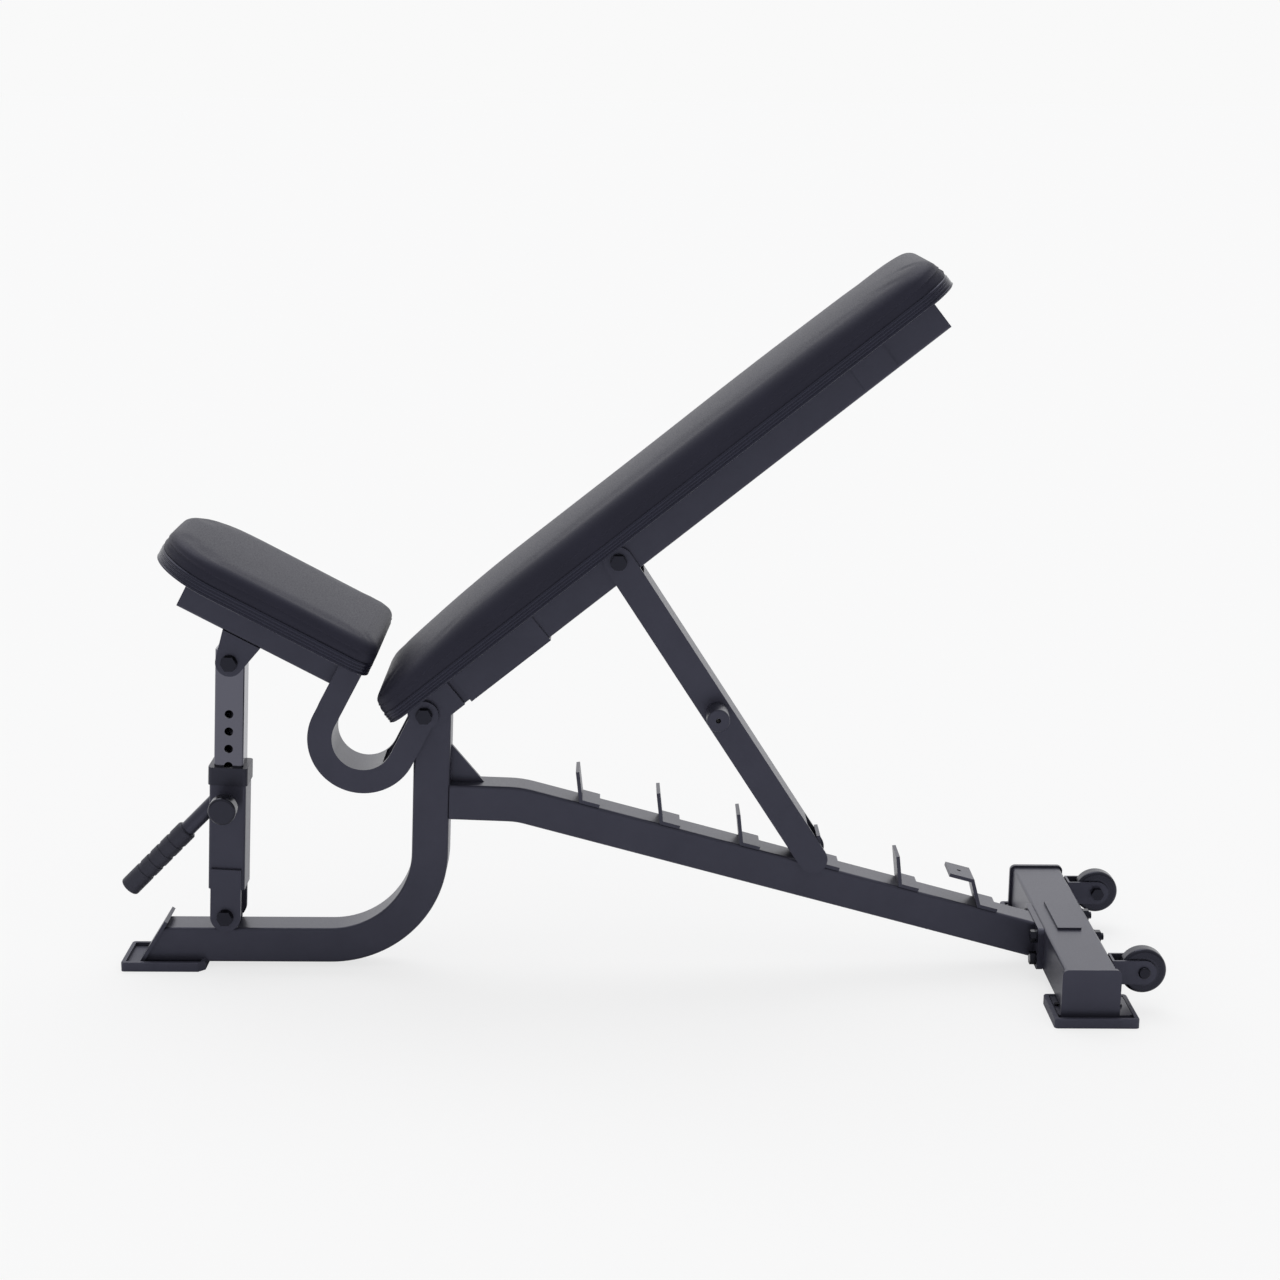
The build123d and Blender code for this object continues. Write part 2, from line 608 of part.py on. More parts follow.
def foot_screws():
    """Screws up through the front sole into the spine, and down through the legs into the trays."""
    up = FOOT_BED + TUBE_WALL + FOOT_SCREW_BITE
    screws = [screw(x, 0, FOOT_SCREW_RECESS, up) for x in FRONT_SCREWS]
    for side in (NEAR, FAR):
        screws += [screw(x, y, FOOT_HEIGHT, FOOT_BED - FOOT_SCREW_BITE) for x, y in rear_screws(side)]
    return screws


def badge_plate():
    """Blank raised plate on top of the cross tube."""
    plate = Box(BADGE_WIDTH, BADGE_LENGTH, BADGE_THICKNESS)
    plate = fillet(plate.edges().filter_by(Axis.Z), 2.0)
    return Pos(CROSS_X, 0, CROSS_TOP + BADGE_THICKNESS / 2) * plate


def wheel_brackets():
    """Folded U of two cheeks and a back plate for each transport wheel."""
    inner = WHEEL_WIDTH / 2 + BRACKET_GAP
    outer = inner + BRACKET_THICKNESS
    reach = WHEEL_X - CROSS_REAR
    frame = side_view(WHEEL_X, WHEEL_Z)
    cheek = span(-reach, 0, -BRACKET_HEIGHT / 2, BRACKET_HEIGHT / 2) + Circle(BRACKET_HEIGHT / 2)
    cheek -= Circle(AXLE_D / 2 + RUNNING_FIT)
    back = span(-reach, -reach + BRACKET_THICKNESS, -BRACKET_HEIGHT / 2, BRACKET_HEIGHT / 2)
    brackets = []
    for side in (NEAR, FAR):
        y = side * WHEEL_Y
        bracket = slab(frame, cheek, y - outer, y - inner) + slab(frame, cheek, y + inner, y + outer)
        brackets.append(bracket + slab(frame, back, y - outer, y + outer))
    return brackets


def wheel_tyre(side):
    """Solid tyre with a rounded tread."""
    profile = Circle(WHEEL_D / 2) - Circle(HUB_D / 2)
    y = side * WHEEL_Y
    tyre = slab(side_view(WHEEL_X, WHEEL_Z), profile, y - WHEEL_WIDTH / 2, y + WHEEL_WIDTH / 2)
    rims = [e for e in tyre.edges() if e.geom_type == GeomType.CIRCLE and e.radius > HUB_D / 2 + 1]
    return fillet(rims, TYRE_EDGE)


def wheel_hub(side):
    """Hub with a ring groove in each face, bored for the axle bolt."""
    y = side * WHEEL_Y
    frame = side_view(WHEEL_X, WHEEL_Z)
    disc = Circle(HUB_D / 2) - Circle(AXLE_D / 2 + RUNNING_FIT)
    face = WHEEL_WIDTH / 2
    hub = slab(frame, disc, y - face, y + face)
    ring = Circle(HUB_D / 2 - HUB_RIM) - Circle(HUB_BOSS_D / 2)
    hub -= slab(frame, ring, y - face, y - face + HUB_RECESS)
    return hub - slab(frame, ring, y + face - HUB_RECESS, y + face)


def axle_bolts():
    """Domed axle with its nut through each bracket; the domes face outwards."""
    reach = WHEEL_WIDTH / 2 + BRACKET_GAP + BRACKET_THICKNESS
    across = AXLE_D * BOLT_HEAD_RATIO
    bolts = []
    for side in (NEAR, FAR):
        axis = Plane(origin=(WHEEL_X, side * WHEEL_Y, WHEEL_Z), x_dir=(1, 0, 0), z_dir=(0, -side, 0))
        dome = bar(axis, across, -reach - AXLE_HEAD, -reach)
        rim = dome.edges().sort_by(Axis.Y)[-1 if side == FAR else 0]
        bolt = fillet(rim, AXLE_HEAD / 2) + bar(axis, AXLE_D, -reach, reach + NUT)
        hexagon = RegularPolygon(across / 2, 6, major_radius=False)
        nut = extrude(axis.offset(reach) * hexagon, NUT) - bar(axis, AXLE_D, reach, reach + NUT)
        bolts += [bolt, nut]
    return bolts


def pivot_bolts():
    """Bolts that stay with the frame: the main pivot and the leg's foot."""
    main = through_bolt(PIVOT_X, PIVOT_Z, PIVOT_BOLT_D, HOOK_OUTER)
    return main + through_bolt(LEG_FOOT_X, LEG_FOOT_Z, PIVOT_BOLT_D, CLEVIS_OUTER)


# ---- Front leg ----

def leg_lugs():
    """Two cheeks on the spine that carry the leg's foot bolt."""
    drop = LEG_FOOT_Z - FOOT_BED - TUBE
    profile = Circle(LUG_RADIUS) + span(-LUG_RADIUS, LUG_RADIUS, -drop, 0)
    profile -= span(-TUBE, TUBE, -TUBE, -drop)
    profile -= Circle(PIVOT_HOLE_D / 2)
    return pair(side_view(LEG_FOOT_X, LEG_FOOT_Z), profile, LUG_OUTER - LUG_THICKNESS, LUG_OUTER)


def leg_tube(start, end, size, wall, corner):
    """Straight square tube on the leg's axis between two distances below the ear bolt."""
    return square_tube([below_head(end), below_head(start)], 0, size, size, wall, corner)


SLEEVE_TOP = COLLAR_TOP + COLLAR_LIP
SLEEVE_END = LEG_LENGTH - SLEEVE_ABOVE_FOOT


def inner_leg_tube():
    """Polished tube with the height holes; its head hole is oversize for the ear bolt."""
    tube = leg_tube(-INNER_ABOVE_HEAD, INNER_BELOW_HEAD, INNER_TUBE, INNER_WALL, TUBE_CORNER)
    tube -= hole(LEG_HEAD_X, LEG_HEAD_Z, PIVOT_BOLT_D + 2 * HEAD_MISFIT)
    for index in range(LEG_HOLES):
        tube -= hole(*below_head(LEG_HOLE_FIRST + index * LEG_HOLE_PITCH), LEG_HOLE_D)
    return tube


def leg_sleeve_tube():
    """Outer tube of the leg, open at both ends, with the pin's hole in its near wall."""
    tube = leg_tube(SLEEVE_TOP, SLEEVE_END, TUBE, TUBE_WALL, TUBE_CORNER)
    pin = below_head(PULL_PIN_AT)
    return tube - rod(*pin, PIN_D + 2 * RUNNING_FIT, -TUBE, -INNER_TUBE / 2)


def sleeve_collar():
    """Moulded cap on the sleeve: a band outside, a lip on top and a guide skirt inside."""
    size = TUBE + 2 * COLLAR_WALL
    guide = INNER_TUBE + 2 * RUNNING_FIT
    band = solid_leg(COLLAR_TOP, COLLAR_TOP + COLLAR_HEIGHT, size, TUBE_CORNER + COLLAR_WALL)
    band -= solid_leg(SLEEVE_TOP, SLEEVE_END, TUBE, TUBE_CORNER)
    skirt = TUBE - 2 * TUBE_WALL - 2 * RUNNING_FIT
    band += solid_leg(COLLAR_TOP, COLLAR_TOP + COLLAR_SKIRT, skirt, 1.0)
    return band - solid_leg(COLLAR_TOP - 1.0, COLLAR_TOP + COLLAR_SKIRT + 1.0, guide, TUBE_CORNER)


def solid_leg(start, end, size, corner):
    """Solid square bar on the leg's axis."""
    a = below_head(end)
    section = Plane(origin=(a[0], 0, a[1]), x_dir=(0, 1, 0),
                    z_dir=(cos(radians(LEG_TILT)), 0, sin(radians(LEG_TILT))))
    return extrude(section * RectangleRounded(size, size, corner), end - start)


def leg_clevis():
    """Cheeks outside the sleeve that reach down to the leg's foot bolt."""
    top = SLEEVE_ABOVE_FOOT + CLEVIS_OVERLAP
    profile = Circle(CLEVIS_RADIUS) + span(0, top, -CLEVIS_RADIUS, CLEVIS_RADIUS)
    profile -= Circle(PIVOT_HOLE_D / 2)
    return pair(side_view(LEG_FOOT_X, LEG_FOOT_Z, LEG_TILT), profile, HALF, CLEVIS_OUTER)


def handle_axis():
    """Plane at the sleeve's front face, its normal down the handle."""
    rise = (HANDLE_START_Z - LEG_HEAD_Z) / sin(radians(LEG_TILT))
    x, z = point_on(LEG_HEAD_X, LEG_HEAD_Z, LEG_TILT, rise, HALF)
    a = radians(HANDLE_ANGLE)
    return Plane(origin=(x, 0, z), x_dir=(0, 1, 0), z_dir=(-cos(a), 0, -sin(a)))


def handle_neck():
    """Round bar welded to the sleeve's front face, running on inside the grip."""
    axis = handle_axis()
    start = axis.offset(-TUBE)
    core = extrude(start * Circle(NECK_D / 2), TUBE + NECK_LENGTH + GRIP_LENGTH - GRIP_END)
    return core - slab(LEG, span(-LEG_LENGTH, 0, -2 * TUBE, HALF), -TUBE, TUBE)


def handle_grip():
    """Rubber grip with finger grooves and a closed, rounded end."""
    axis = handle_axis()
    grip = extrude(axis.offset(NECK_LENGTH) * Circle(GRIP_D / 2), GRIP_LENGTH)
    ends = [e for e in grip.edges() if e.geom_type == GeomType.CIRCLE]
    grip = fillet(ends, GRIP_EDGE)
    pitch = GRIP_LENGTH / (GRIP_RIDGES + 2)
    for index in range(GRIP_RIDGES):
        ring = Circle(GRIP_D) - Circle(GRIP_D / 2 - GRIP_GROOVE)
        grip -= extrude(axis.offset(NECK_LENGTH + pitch * (index + 1)) * ring, pitch / 3)
    return grip - extrude(axis * Circle(NECK_D / 2), NECK_LENGTH + GRIP_LENGTH - GRIP_END)


def pin_housing():
    """Screwed boss on the sleeve that guides the pull pin and holds its spring."""
    x, z = below_head(PULL_PIN_AT)
    end = -HALF - PIN_HOUSING_LENGTH
    boss = rod(x, z, PIN_HOUSING_D, end, -HALF)
    boss -= rod(x, z, PIN_CHAMBER_D, end + PIN_HOUSING_END, -HALF)
    return boss - rod(x, z, PIN_STEM_D + 2 * RUNNING_FIT, end, end + PIN_HOUSING_END)


def pin_spring():
    """Coil spring between the housing's end wall and the pin's collar, at its pulled length."""
    x, z = below_head(PULL_PIN_AT)
    wall = -HALF - PIN_HOUSING_LENGTH + PIN_HOUSING_END
    pulled = -HALF - LOCK_GAP - PIN_TRAVEL - PIN_COLLAR
    start = wall + LOCK_GAP + SPRING_WIRE / 2
    height = pulled - SPRING_ROOM - SPRING_WIRE / 2 - start
    coil = Helix(height / SPRING_TURNS, height, SPRING_RADIUS, center=(x, start, z), direction=(0, 1, 0))
    wire = Plane(origin=coil @ 0, z_dir=coil % 0) * Circle(SPRING_WIRE / 2)
    return sweep(wire, path=coil, is_frenet=True)


def pull_pin():
    """Pin with a spring collar and a stem out to the knob."""
    x, z = below_head(PULL_PIN_AT)
    collar = -HALF - LOCK_GAP
    pin = rod(x, z, PIN_D, collar, -INNER_TUBE / 2 - LOCK_GAP)
    pin += rod(x, z, PIN_COLLAR_D, collar - PIN_COLLAR, collar)
    knob_face = -HALF - PIN_HOUSING_LENGTH - KNOB_GAP
    return pin + rod(x, z, PIN_STEM_D, knob_face - KNOB_LENGTH / 2, collar)


def pin_knob():
    """Round moulded knob."""
    x, z = below_head(PULL_PIN_AT)
    face = -HALF - PIN_HOUSING_LENGTH - KNOB_GAP
    knob = rod(x, z, KNOB_D, face - KNOB_LENGTH, face)
    knob = fillet([e for e in knob.edges() if e.geom_type == GeomType.CIRCLE], KNOB_EDGE)
    return knob - rod(x, z, PIN_STEM_D, face - KNOB_LENGTH / 2, face)


# ---- Cushions, shared by the seat and the backrest ----

def pad_outline(start, end, start_corner, end_corner, inset=0.0):
    """Plan of a cushion, rounder at one end than at the other."""
    plan = span(start + inset, end - inset, -PAD_WIDTH / 2 + inset, PAD_WIDTH / 2 - inset)
    plan = fillet(plan.vertices().group_by(Axis.X)[0], start_corner - inset)
    return fillet(plan.vertices().group_by(Axis.X)[-1], end_corner - inset)


def pad_base(top, plan_of, bottom):
    """Ribbed moulded tray under a cushion."""
    floor = top.offset(bottom)
    cover = extrude(floor * plan_of(0.0), COVER_HEIGHT)
    cover -= extrude(floor.offset(COVER_WALL) * plan_of(COVER_WALL), COVER_HEIGHT)
    pitch = COVER_HEIGHT / (COVER_RIBS + 1)
    for index in range(COVER_RIBS):
        ring = plan_of(0.0) - plan_of(COVER_RIB_GROOVE)
        level = pitch * (index + 1) - COVER_RIB_GROOVE / 2
        cover -= extrude(floor.offset(level) * ring, COVER_RIB_GROOVE)
    return cover


def pad_board(top, plan_of, bottom):
    """Plywood board that lies in the tray and takes the screws."""
    level = top.offset(bottom + COVER_WALL)
    return extrude(level * plan_of(COVER_WALL + SOFT_GAP), BOARD_THICKNESS)


def cushion(top, plan_of, bottom):
    """Foam and cover as one plain solid with rounded upper edges."""
    pad = extrude(top.offset(bottom + COVER_HEIGHT + SOFT_GAP) * plan_of(0.0), CUSHION_HEIGHT)
    normal = Axis(top.origin, top.z_dir)
    return fillet(pad.edges().group_by(normal)[-1], CUSHION_EDGE)


def pad_screws(top, stations, under, board_top):
    """Screws from under each mount up into the board."""
    screws = []
    for along in stations:
        for side in (NEAR, FAR):
            at = Pos(along, side * PAD_SCREW_Y)
            head = extrude(top.offset(under - PAD_SCREW_HEAD) * at * Circle(PAD_SCREW_HEAD_D / 2),
                           PAD_SCREW_HEAD)
            shank = extrude(top.offset(under) * at * Circle(PAD_SCREW_D / 2), board_top - under)
            screws.append(head + shank)
    return screws


def screw_holes(top, stations, low, high):
    """Cutters for the same screws between two heights."""
    cutters = []
    for along in stations:
        for side in (NEAR, FAR):
            circle = Circle(PAD_SCREW_D / 2 + RUNNING_FIT)
            place = top.offset(low) * Pos(along, side * PAD_SCREW_Y)
            cutters.append(extrude(place * circle, high - low))
    return cutters


# ---- Seat ----

SEAT_DECK = deck(PIVOT_X, PIVOT_Z, SEAT_TILT)
HEAD_ALONG, HEAD_ACROSS = onto(PIVOT_X, PIVOT_Z, SEAT_TILT, LEG_HEAD_X, LEG_HEAD_Z)
ARM_ANGLE = radians(180.0 + SEAT_TILT)
ARM_ALONG, ARM_ACROSS = onto(PIVOT_X, PIVOT_Z, SEAT_TILT, HOOK_X + HOOK_RADIUS * cos(ARM_ANGLE),
                             HOOK_Z + HOOK_RADIUS * sin(ARM_ANGLE))
SEAT_RAIL_REAR = ARM_ALONG + HOOK_BAND / 2
SEAT_MOUNT_UNDER = SEAT_PAD_BOTTOM - MOUNT_WALL
SEAT_SCREW_TOP = SEAT_PAD_BOTTOM + COVER_WALL + PAD_SCREW_BITE


def seat_plan(inset):
    ends = (SEAT_PAD_FRONT, SEAT_PAD_REAR)
    return pad_outline(*ends, SEAT_FRONT_CORNER, SEAT_REAR_CORNER, inset)


def closed_rail(tilt, start, end, offset, width):
    """Straight tube on a tilted line through the main pivot, a plate welded into each end."""
    ends = [point_on(PIVOT_X, PIVOT_Z, tilt, along, offset) for along in (start, end)]
    rail = square_tube(ends, 0, width, TUBE, TUBE_WALL, TUBE_CORNER)
    frame = side_view(PIVOT_X, PIVOT_Z, tilt)
    room, side = HALF - TUBE_WALL, width / 2 - TUBE_WALL
    for low in (start, end - TUBE_WALL):
        rail += slab(frame, span(low, low + TUBE_WALL, offset - room, offset + room), -side, side)
    return rail


def seat_rail():
    """Rail under the seat, with a drain hole in its lower wall."""
    rail = closed_rail(SEAT_TILT, SEAT_RAIL_FRONT, SEAT_RAIL_REAR, SEAT_RAIL_OFFSET, TUBE)
    drain = SEAT_DECK.offset(SEAT_RAIL_BOTTOM - TUBE_WALL) * Pos(DRAIN_AT, 0) * Circle(DRAIN_D / 2)
    return rail - extrude(drain, 3 * TUBE_WALL)


def seat_ears():
    """Cheeks under the rail that take the leg's head bolt."""
    front, rear = HEAD_ALONG - EAR_WIDTH / 2, HEAD_ALONG + EAR_WIDTH / 2
    top = Line((front, SEAT_RAIL_BOTTOM), (rear, SEAT_RAIL_BOTTOM))
    ear = make_hull([*(Pos(HEAD_ALONG, HEAD_ACROSS) * Circle(EAR_RADIUS)).edges(), *top.edges()])
    ear -= Pos(HEAD_ALONG, HEAD_ACROSS) * Circle(PIVOT_HOLE_D / 2)
    return pair(SEAT, ear, INNER_TUBE / 2 + SIDE_GAP, HALF)


def hook_band(inner, outer, start_deg, end_deg):
    """Sector of the hook's ring between two radii, round its lower side."""
    ring = Circle(outer) - Circle(inner)
    reach = 3 * outer
    steps = 6
    angles = [radians(start_deg + (end_deg - start_deg) * i / steps) for i in range(steps + 1)]
    sector = Polyline((0, 0), *[(reach * cos(a), reach * sin(a)) for a in angles], close=True)
    return Pos(HOOK_X, HOOK_Z) * (ring & make_face(sector))


def hook_angles():
    """Where the seat arm and the pivot arm leave the ring, in degrees round it."""
    to_pivot = degrees(atan2(PIVOT_Z - HOOK_Z, PIVOT_X - HOOK_X))
    distance = hypot(PIVOT_Z - HOOK_Z, PIVOT_X - HOOK_X)
    leave = degrees(acos(HOOK_RADIUS / distance))
    return 180.0 + SEAT_TILT, 360.0 + to_pivot - leave


def pivot_arm():
    """Heading and length of the arm from the ring to the main pivot."""
    to_pivot = hypot(PIVOT_Z - HOOK_Z, PIVOT_X - HOOK_X)
    _, leave = hook_angles()
    return leave - 270.0, (to_pivot ** 2 - HOOK_RADIUS ** 2) ** 0.5


def hook_plates():
    """Side plates of the hook: ring, arm to the seat rail and arm over the post to the pivot."""
    seat_end, pivot_end = hook_angles()
    half = HOOK_BAND / 2
    ring = hook_band(HOOK_RADIUS - half, HOOK_RADIUS + half, seat_end, pivot_end)
    arm = span(ARM_ALONG - half, SEAT_RAIL_REAR, ARM_ACROSS, HOOK_PACKING_TOP)
    heading, length = pivot_arm()
    reach = span(-length, 0, -half, half) + Circle(half + HOOK_EYE)
    views = ((side_view(0, 0), ring), (SEAT, arm), (side_view(PIVOT_X, PIVOT_Z, heading), reach))
    plates = []
    for low, high in ((HOOK_INNER, HOOK_OUTER), (-HOOK_OUTER, -HOOK_INNER)):
        pieces = [slab(view, profile, low, high) for view, profile in views]
        plate = pieces[0] + pieces[1] + pieces[2]
        plates.append(plate - hole(PIVOT_X, PIVOT_Z, PIVOT_HOLE_D))
    return plates


def hook_web():
    """Rolled inner wall between the hook plates, open towards the post."""
    inner = HOOK_RADIUS - HOOK_BAND / 2
    seat_end, _ = hook_angles()
    roll = hook_band(inner, inner + HOOK_WEB, seat_end, 360.0 + HOOK_WEB_END)
    strip = span(SEAT_RAIL_REAR - HOOK_WEB, SEAT_RAIL_REAR, ARM_ACROSS, SEAT_RAIL_BOTTOM)
    web = slab(side_view(0, 0), roll, -HOOK_INNER, HOOK_INNER)
    return web + slab(SEAT, strip, -HOOK_INNER, HOOK_INNER)


def hook_packing():
    """Packing between the rail's sides and the hook plates."""
    block = span(ARM_ALONG - HOOK_BAND / 2, SEAT_RAIL_REAR, SEAT_RAIL_BOTTOM, HOOK_PACKING_TOP)
    return pair(SEAT, block, HALF, HOOK_INNER)


def seat_pad_mounts():
    """Folded channels across the rail."""
    mounts = []
    for along in SEAT_MOUNTS:
        low = SEAT_RAIL_OFFSET + HALF
        outer = span(along - MOUNT_WIDTH / 2, along + MOUNT_WIDTH / 2, low, SEAT_PAD_BOTTOM)
        room = MOUNT_WIDTH / 2 - MOUNT_WALL
        inner = span(along - room, along + room, low, SEAT_MOUNT_UNDER)
        mounts.append(slab(SEAT, outer - inner, -MOUNT_SPAN / 2, MOUNT_SPAN / 2))
    cutters = screw_holes(SEAT_DECK, SEAT_MOUNTS, SEAT_MOUNT_UNDER, SEAT_SCREW_TOP)
    return [mount - cutters for mount in mounts]


# ---- Backrest ----

BACK_DECK = deck(PIVOT_X, PIVOT_Z, BACK_TILT)
BACK_MOUNTS = (BACK_LOWER_MOUNT, BACK_UPPER_MOUNT)
BACK_MOUNT_UNDER = BACK_PAD_BOTTOM - MOUNT_WALL
BACK_SCREW_TOP = BACK_PAD_BOTTOM + COVER_WALL + PAD_SCREW_BITE


def back_plan(inset):
    ends = (BACK_PAD_START, BACK_PAD_END)
    return pad_outline(*ends, BACK_LOWER_CORNER, BACK_UPPER_CORNER, inset)


def back_rail():
    """Backbone of the backrest."""
    span_s = (BACK_RAIL_START, BACK_RAIL_END)
    rail = closed_rail(BACK_TILT, *span_s, BACK_RAIL_OFFSET, BACK_RAIL_WIDTH)
    return rail - hole(STRUT_X, STRUT_Z, PIVOT_HOLE_D)


def back_ears():
    """Cheeks either side of the post that hang the rail on the main pivot."""
    low = BACK_RAIL_BOTTOM
    ear = Circle(BACK_EAR_RADIUS) + span(0, BACK_EAR_END, low, low + TUBE)
    ear -= Circle(PIVOT_HOLE_D / 2)
    return pair(BACK, ear, EAR_INNER, EAR_OUTER)


def rail_doubler():
    """Folded channel that stiffens the rail above the ears."""
    low, high = BACK_RAIL_BOTTOM, BACK_RAIL_BOTTOM + TUBE
    outer = BACK_RAIL_WIDTH / 2 + DOUBLER_THICKNESS
    body = slab(BACK, span(DOUBLER_START, DOUBLER_END, low - DOUBLER_THICKNESS, high), -outer, outer)
    room = BACK_RAIL_WIDTH / 2
    return body - slab(BACK, span(DOUBLER_START - 1, DOUBLER_END + 1, low, high + 1), -room, room)


def back_pad_mounts():
    """Cross plates under the cushion; the upper one is a saddle over the rail."""
    top = BACK_PAD_BOTTOM
    inner, outer = BACK_RAIL_WIDTH / 2, BACK_RAIL_WIDTH / 2 + SADDLE_THICKNESS
    cutters = screw_holes(BACK_DECK, BACK_MOUNTS, BACK_MOUNT_UNDER, BACK_SCREW_TOP)
    mounts = []
    for along, length in ((BACK_LOWER_MOUNT, MOUNT_WIDTH), (BACK_UPPER_MOUNT, SADDLE_LENGTH)):
        start, end = along - length / 2, along + length / 2
        mount = slab(BACK, span(start, end, BACK_MOUNT_UNDER, top), -MOUNT_SPAN / 2, MOUNT_SPAN / 2)
        if along == BACK_UPPER_MOUNT:
            cheek = span(start, end, BACK_MOUNT_UNDER - SADDLE_DEPTH, BACK_MOUNT_UNDER)
            mount = mount + slab(BACK, cheek, inner, outer) + slab(BACK, cheek, -outer, -inner)
        mounts.append(mount - cutters)
    return mounts


# ---- Strut ----

def strut_channel():
    """Channel with slot-shaped cheeks and a web set back at both ends."""
    length = STRUT_LENGTH
    cheek = Pos(length / 2, 0) * SlotCenterToCenter(length, STRUT_WIDTH)
    cheek -= Circle(PIVOT_HOLE_D / 2) + Pos(STRUT_HANDLE_S, 0) * Circle(STRUT_HANDLE_D / 2)
    cheek -= Pos(length, 0) * Circle(STRUT_PIN_D / 2)
    edge = STRUT_WIDTH / 2
    web = span(STRUT_WEB_TOP, length - STRUT_WEB_BOTTOM, edge - STRUT_THICKNESS, edge)
    sides = pair(STRUT, cheek, STRUT_INNER, STRUT_OUTER)
    return sides[0] + sides[1] + slab(STRUT, web, -STRUT_OUTER, STRUT_OUTER)


def strut_handle_bar():
    """Tube through both cheeks to lift the strut by, its end plates drilled in the middle."""
    reach = STRUT_OUTER + STRUT_HANDLE_REACH
    tube = rod(HANDLE_X, HANDLE_Z, STRUT_HANDLE_D, -reach, reach)
    tube = fillet([e for e in tube.edges() if e.geom_type == GeomType.CIRCLE], STRUT_HANDLE_EDGE)
    room = reach - TUBE_WALL
    tube -= rod(HANDLE_X, HANDLE_Z, STRUT_HANDLE_D - 2 * TUBE_WALL, -room, room)
    return tube - rod(HANDLE_X, HANDLE_Z, STRUT_HANDLE_HOLE_D, -reach, reach)


def strut_pin():
    """Cross pin through both cheeks that drops into the catches."""
    return rod(PIN_X, PIN_Z, STRUT_PIN_D, -STRUT_OUTER, STRUT_OUTER)


def seat_nodes():
    low = SEAT_PAD_BOTTOM
    cutters = screw_holes(SEAT_DECK, SEAT_MOUNTS, SEAT_MOUNT_UNDER, SEAT_SCREW_TOP)
    return {
        "seat_rail": seat_rail(),
        "seat_ears": seat_ears(),
        "hook_plates": hook_plates(),
        "hook_web": hook_web(),
        "hook_packing": hook_packing(),
        "seat_pad_mounts": seat_pad_mounts(),
        "seat_screws": pad_screws(SEAT_DECK, SEAT_MOUNTS, SEAT_MOUNT_UNDER, SEAT_SCREW_TOP),
        "seat_base_cover": pad_base(SEAT_DECK, seat_plan, low) - cutters,
        "seat_board": pad_board(SEAT_DECK, seat_plan, low) - cutters,
        "seat_pad": cushion(SEAT_DECK, seat_plan, low),
        "ear_bolt": through_bolt(LEG_HEAD_X, LEG_HEAD_Z, PIVOT_BOLT_D, HALF),
    }


def back_nodes():
    low = BACK_PAD_BOTTOM
    cutters = screw_holes(BACK_DECK, BACK_MOUNTS, BACK_MOUNT_UNDER, BACK_SCREW_TOP)
    return {
        "back_rail": back_rail(),
        "back_ears": back_ears(),
        "rail_doubler": rail_doubler(),
        "back_pad_mounts": back_pad_mounts(),
        "back_screws": pad_screws(BACK_DECK, BACK_MOUNTS, BACK_MOUNT_UNDER, BACK_SCREW_TOP),
        "back_base_cover": pad_base(BACK_DECK, back_plan, low) - cutters,
        "back_board": pad_board(BACK_DECK, back_plan, low) - cutters,
        "back_pad": cushion(BACK_DECK, back_plan, low),
        "strut_bolt": through_bolt(STRUT_X, STRUT_Z, PIVOT_BOLT_D, STRUT_OUTER),
    }


def frame_nodes():
    nodes = {
        "main_frame_tube": main_frame_tube(),
        "front_end_plate": front_end_plate(),
        "front_foot": front_foot(),
        "rear_beam": rear_beam(),
        "gusset_plate": gusset_plate(),
        "end_stop_catch": end_stop_catch(),
        "beam_flange": beam_flange(),
        "flange_bolts": flange_bolts(),
        "rear_cross_tube": rear_cross_tube(),
        "cross_tube_end_plates": cross_tube_end_plates(),
        "foot_screws": foot_screws(),
        "badge_plate": badge_plate(),
        "wheel_brackets": wheel_brackets(),
        "axle_bolts": axle_bolts(),
        "leg_lugs": leg_lugs(),
        "pivot_bolts": pivot_bolts(),
    }
    for index in range(CATCH_COUNT):
        nodes[f"catch_plate_{index + 1}"] = catch_plate(index)
    for name, side in (("near", NEAR), ("far", FAR)):
        nodes[f"rear_foot_{name}"] = rear_foot(side)
        nodes[f"wheel_tyre_{name}"] = wheel_tyre(side)
        nodes[f"wheel_hub_{name}"] = wheel_hub(side)
    return nodes


def leg_and_strut_nodes():
    return {
        "leg_sleeve_tube": leg_sleeve_tube(),
        "sleeve_collar": sleeve_collar(),
        "leg_clevis": leg_clevis(),
        "handle_neck": handle_neck(),
        "handle_grip": handle_grip(),
        "pin_housing": pin_housing(),
        "pin_spring": pin_spring(),
        "inner_leg_tube": inner_leg_tube(),
        "pull_pin": pull_pin(),
        "pin_knob": pin_knob(),
        "strut_channel": strut_channel(),
        "strut_handle_bar": strut_handle_bar(),
        "strut_pin": strut_pin(),
    }


os.makedirs("parts", exist_ok=True)
for name, shape in {**frame_nodes(), **leg_and_strut_nodes(), **seat_nodes(), **back_nodes()}.items():
    pieces = shape if isinstance(shape, list) else [shape]
    solids = [solid for piece in pieces for solid in piece.solids()]
    export_step(solids[0] if len(solids) == 1 else Compound(children=solids), f"parts/{name}.step")
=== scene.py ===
import json
from math import cos, radians, sin

import bmesh
import bpy
import numpy as np
from mathutils import Matrix


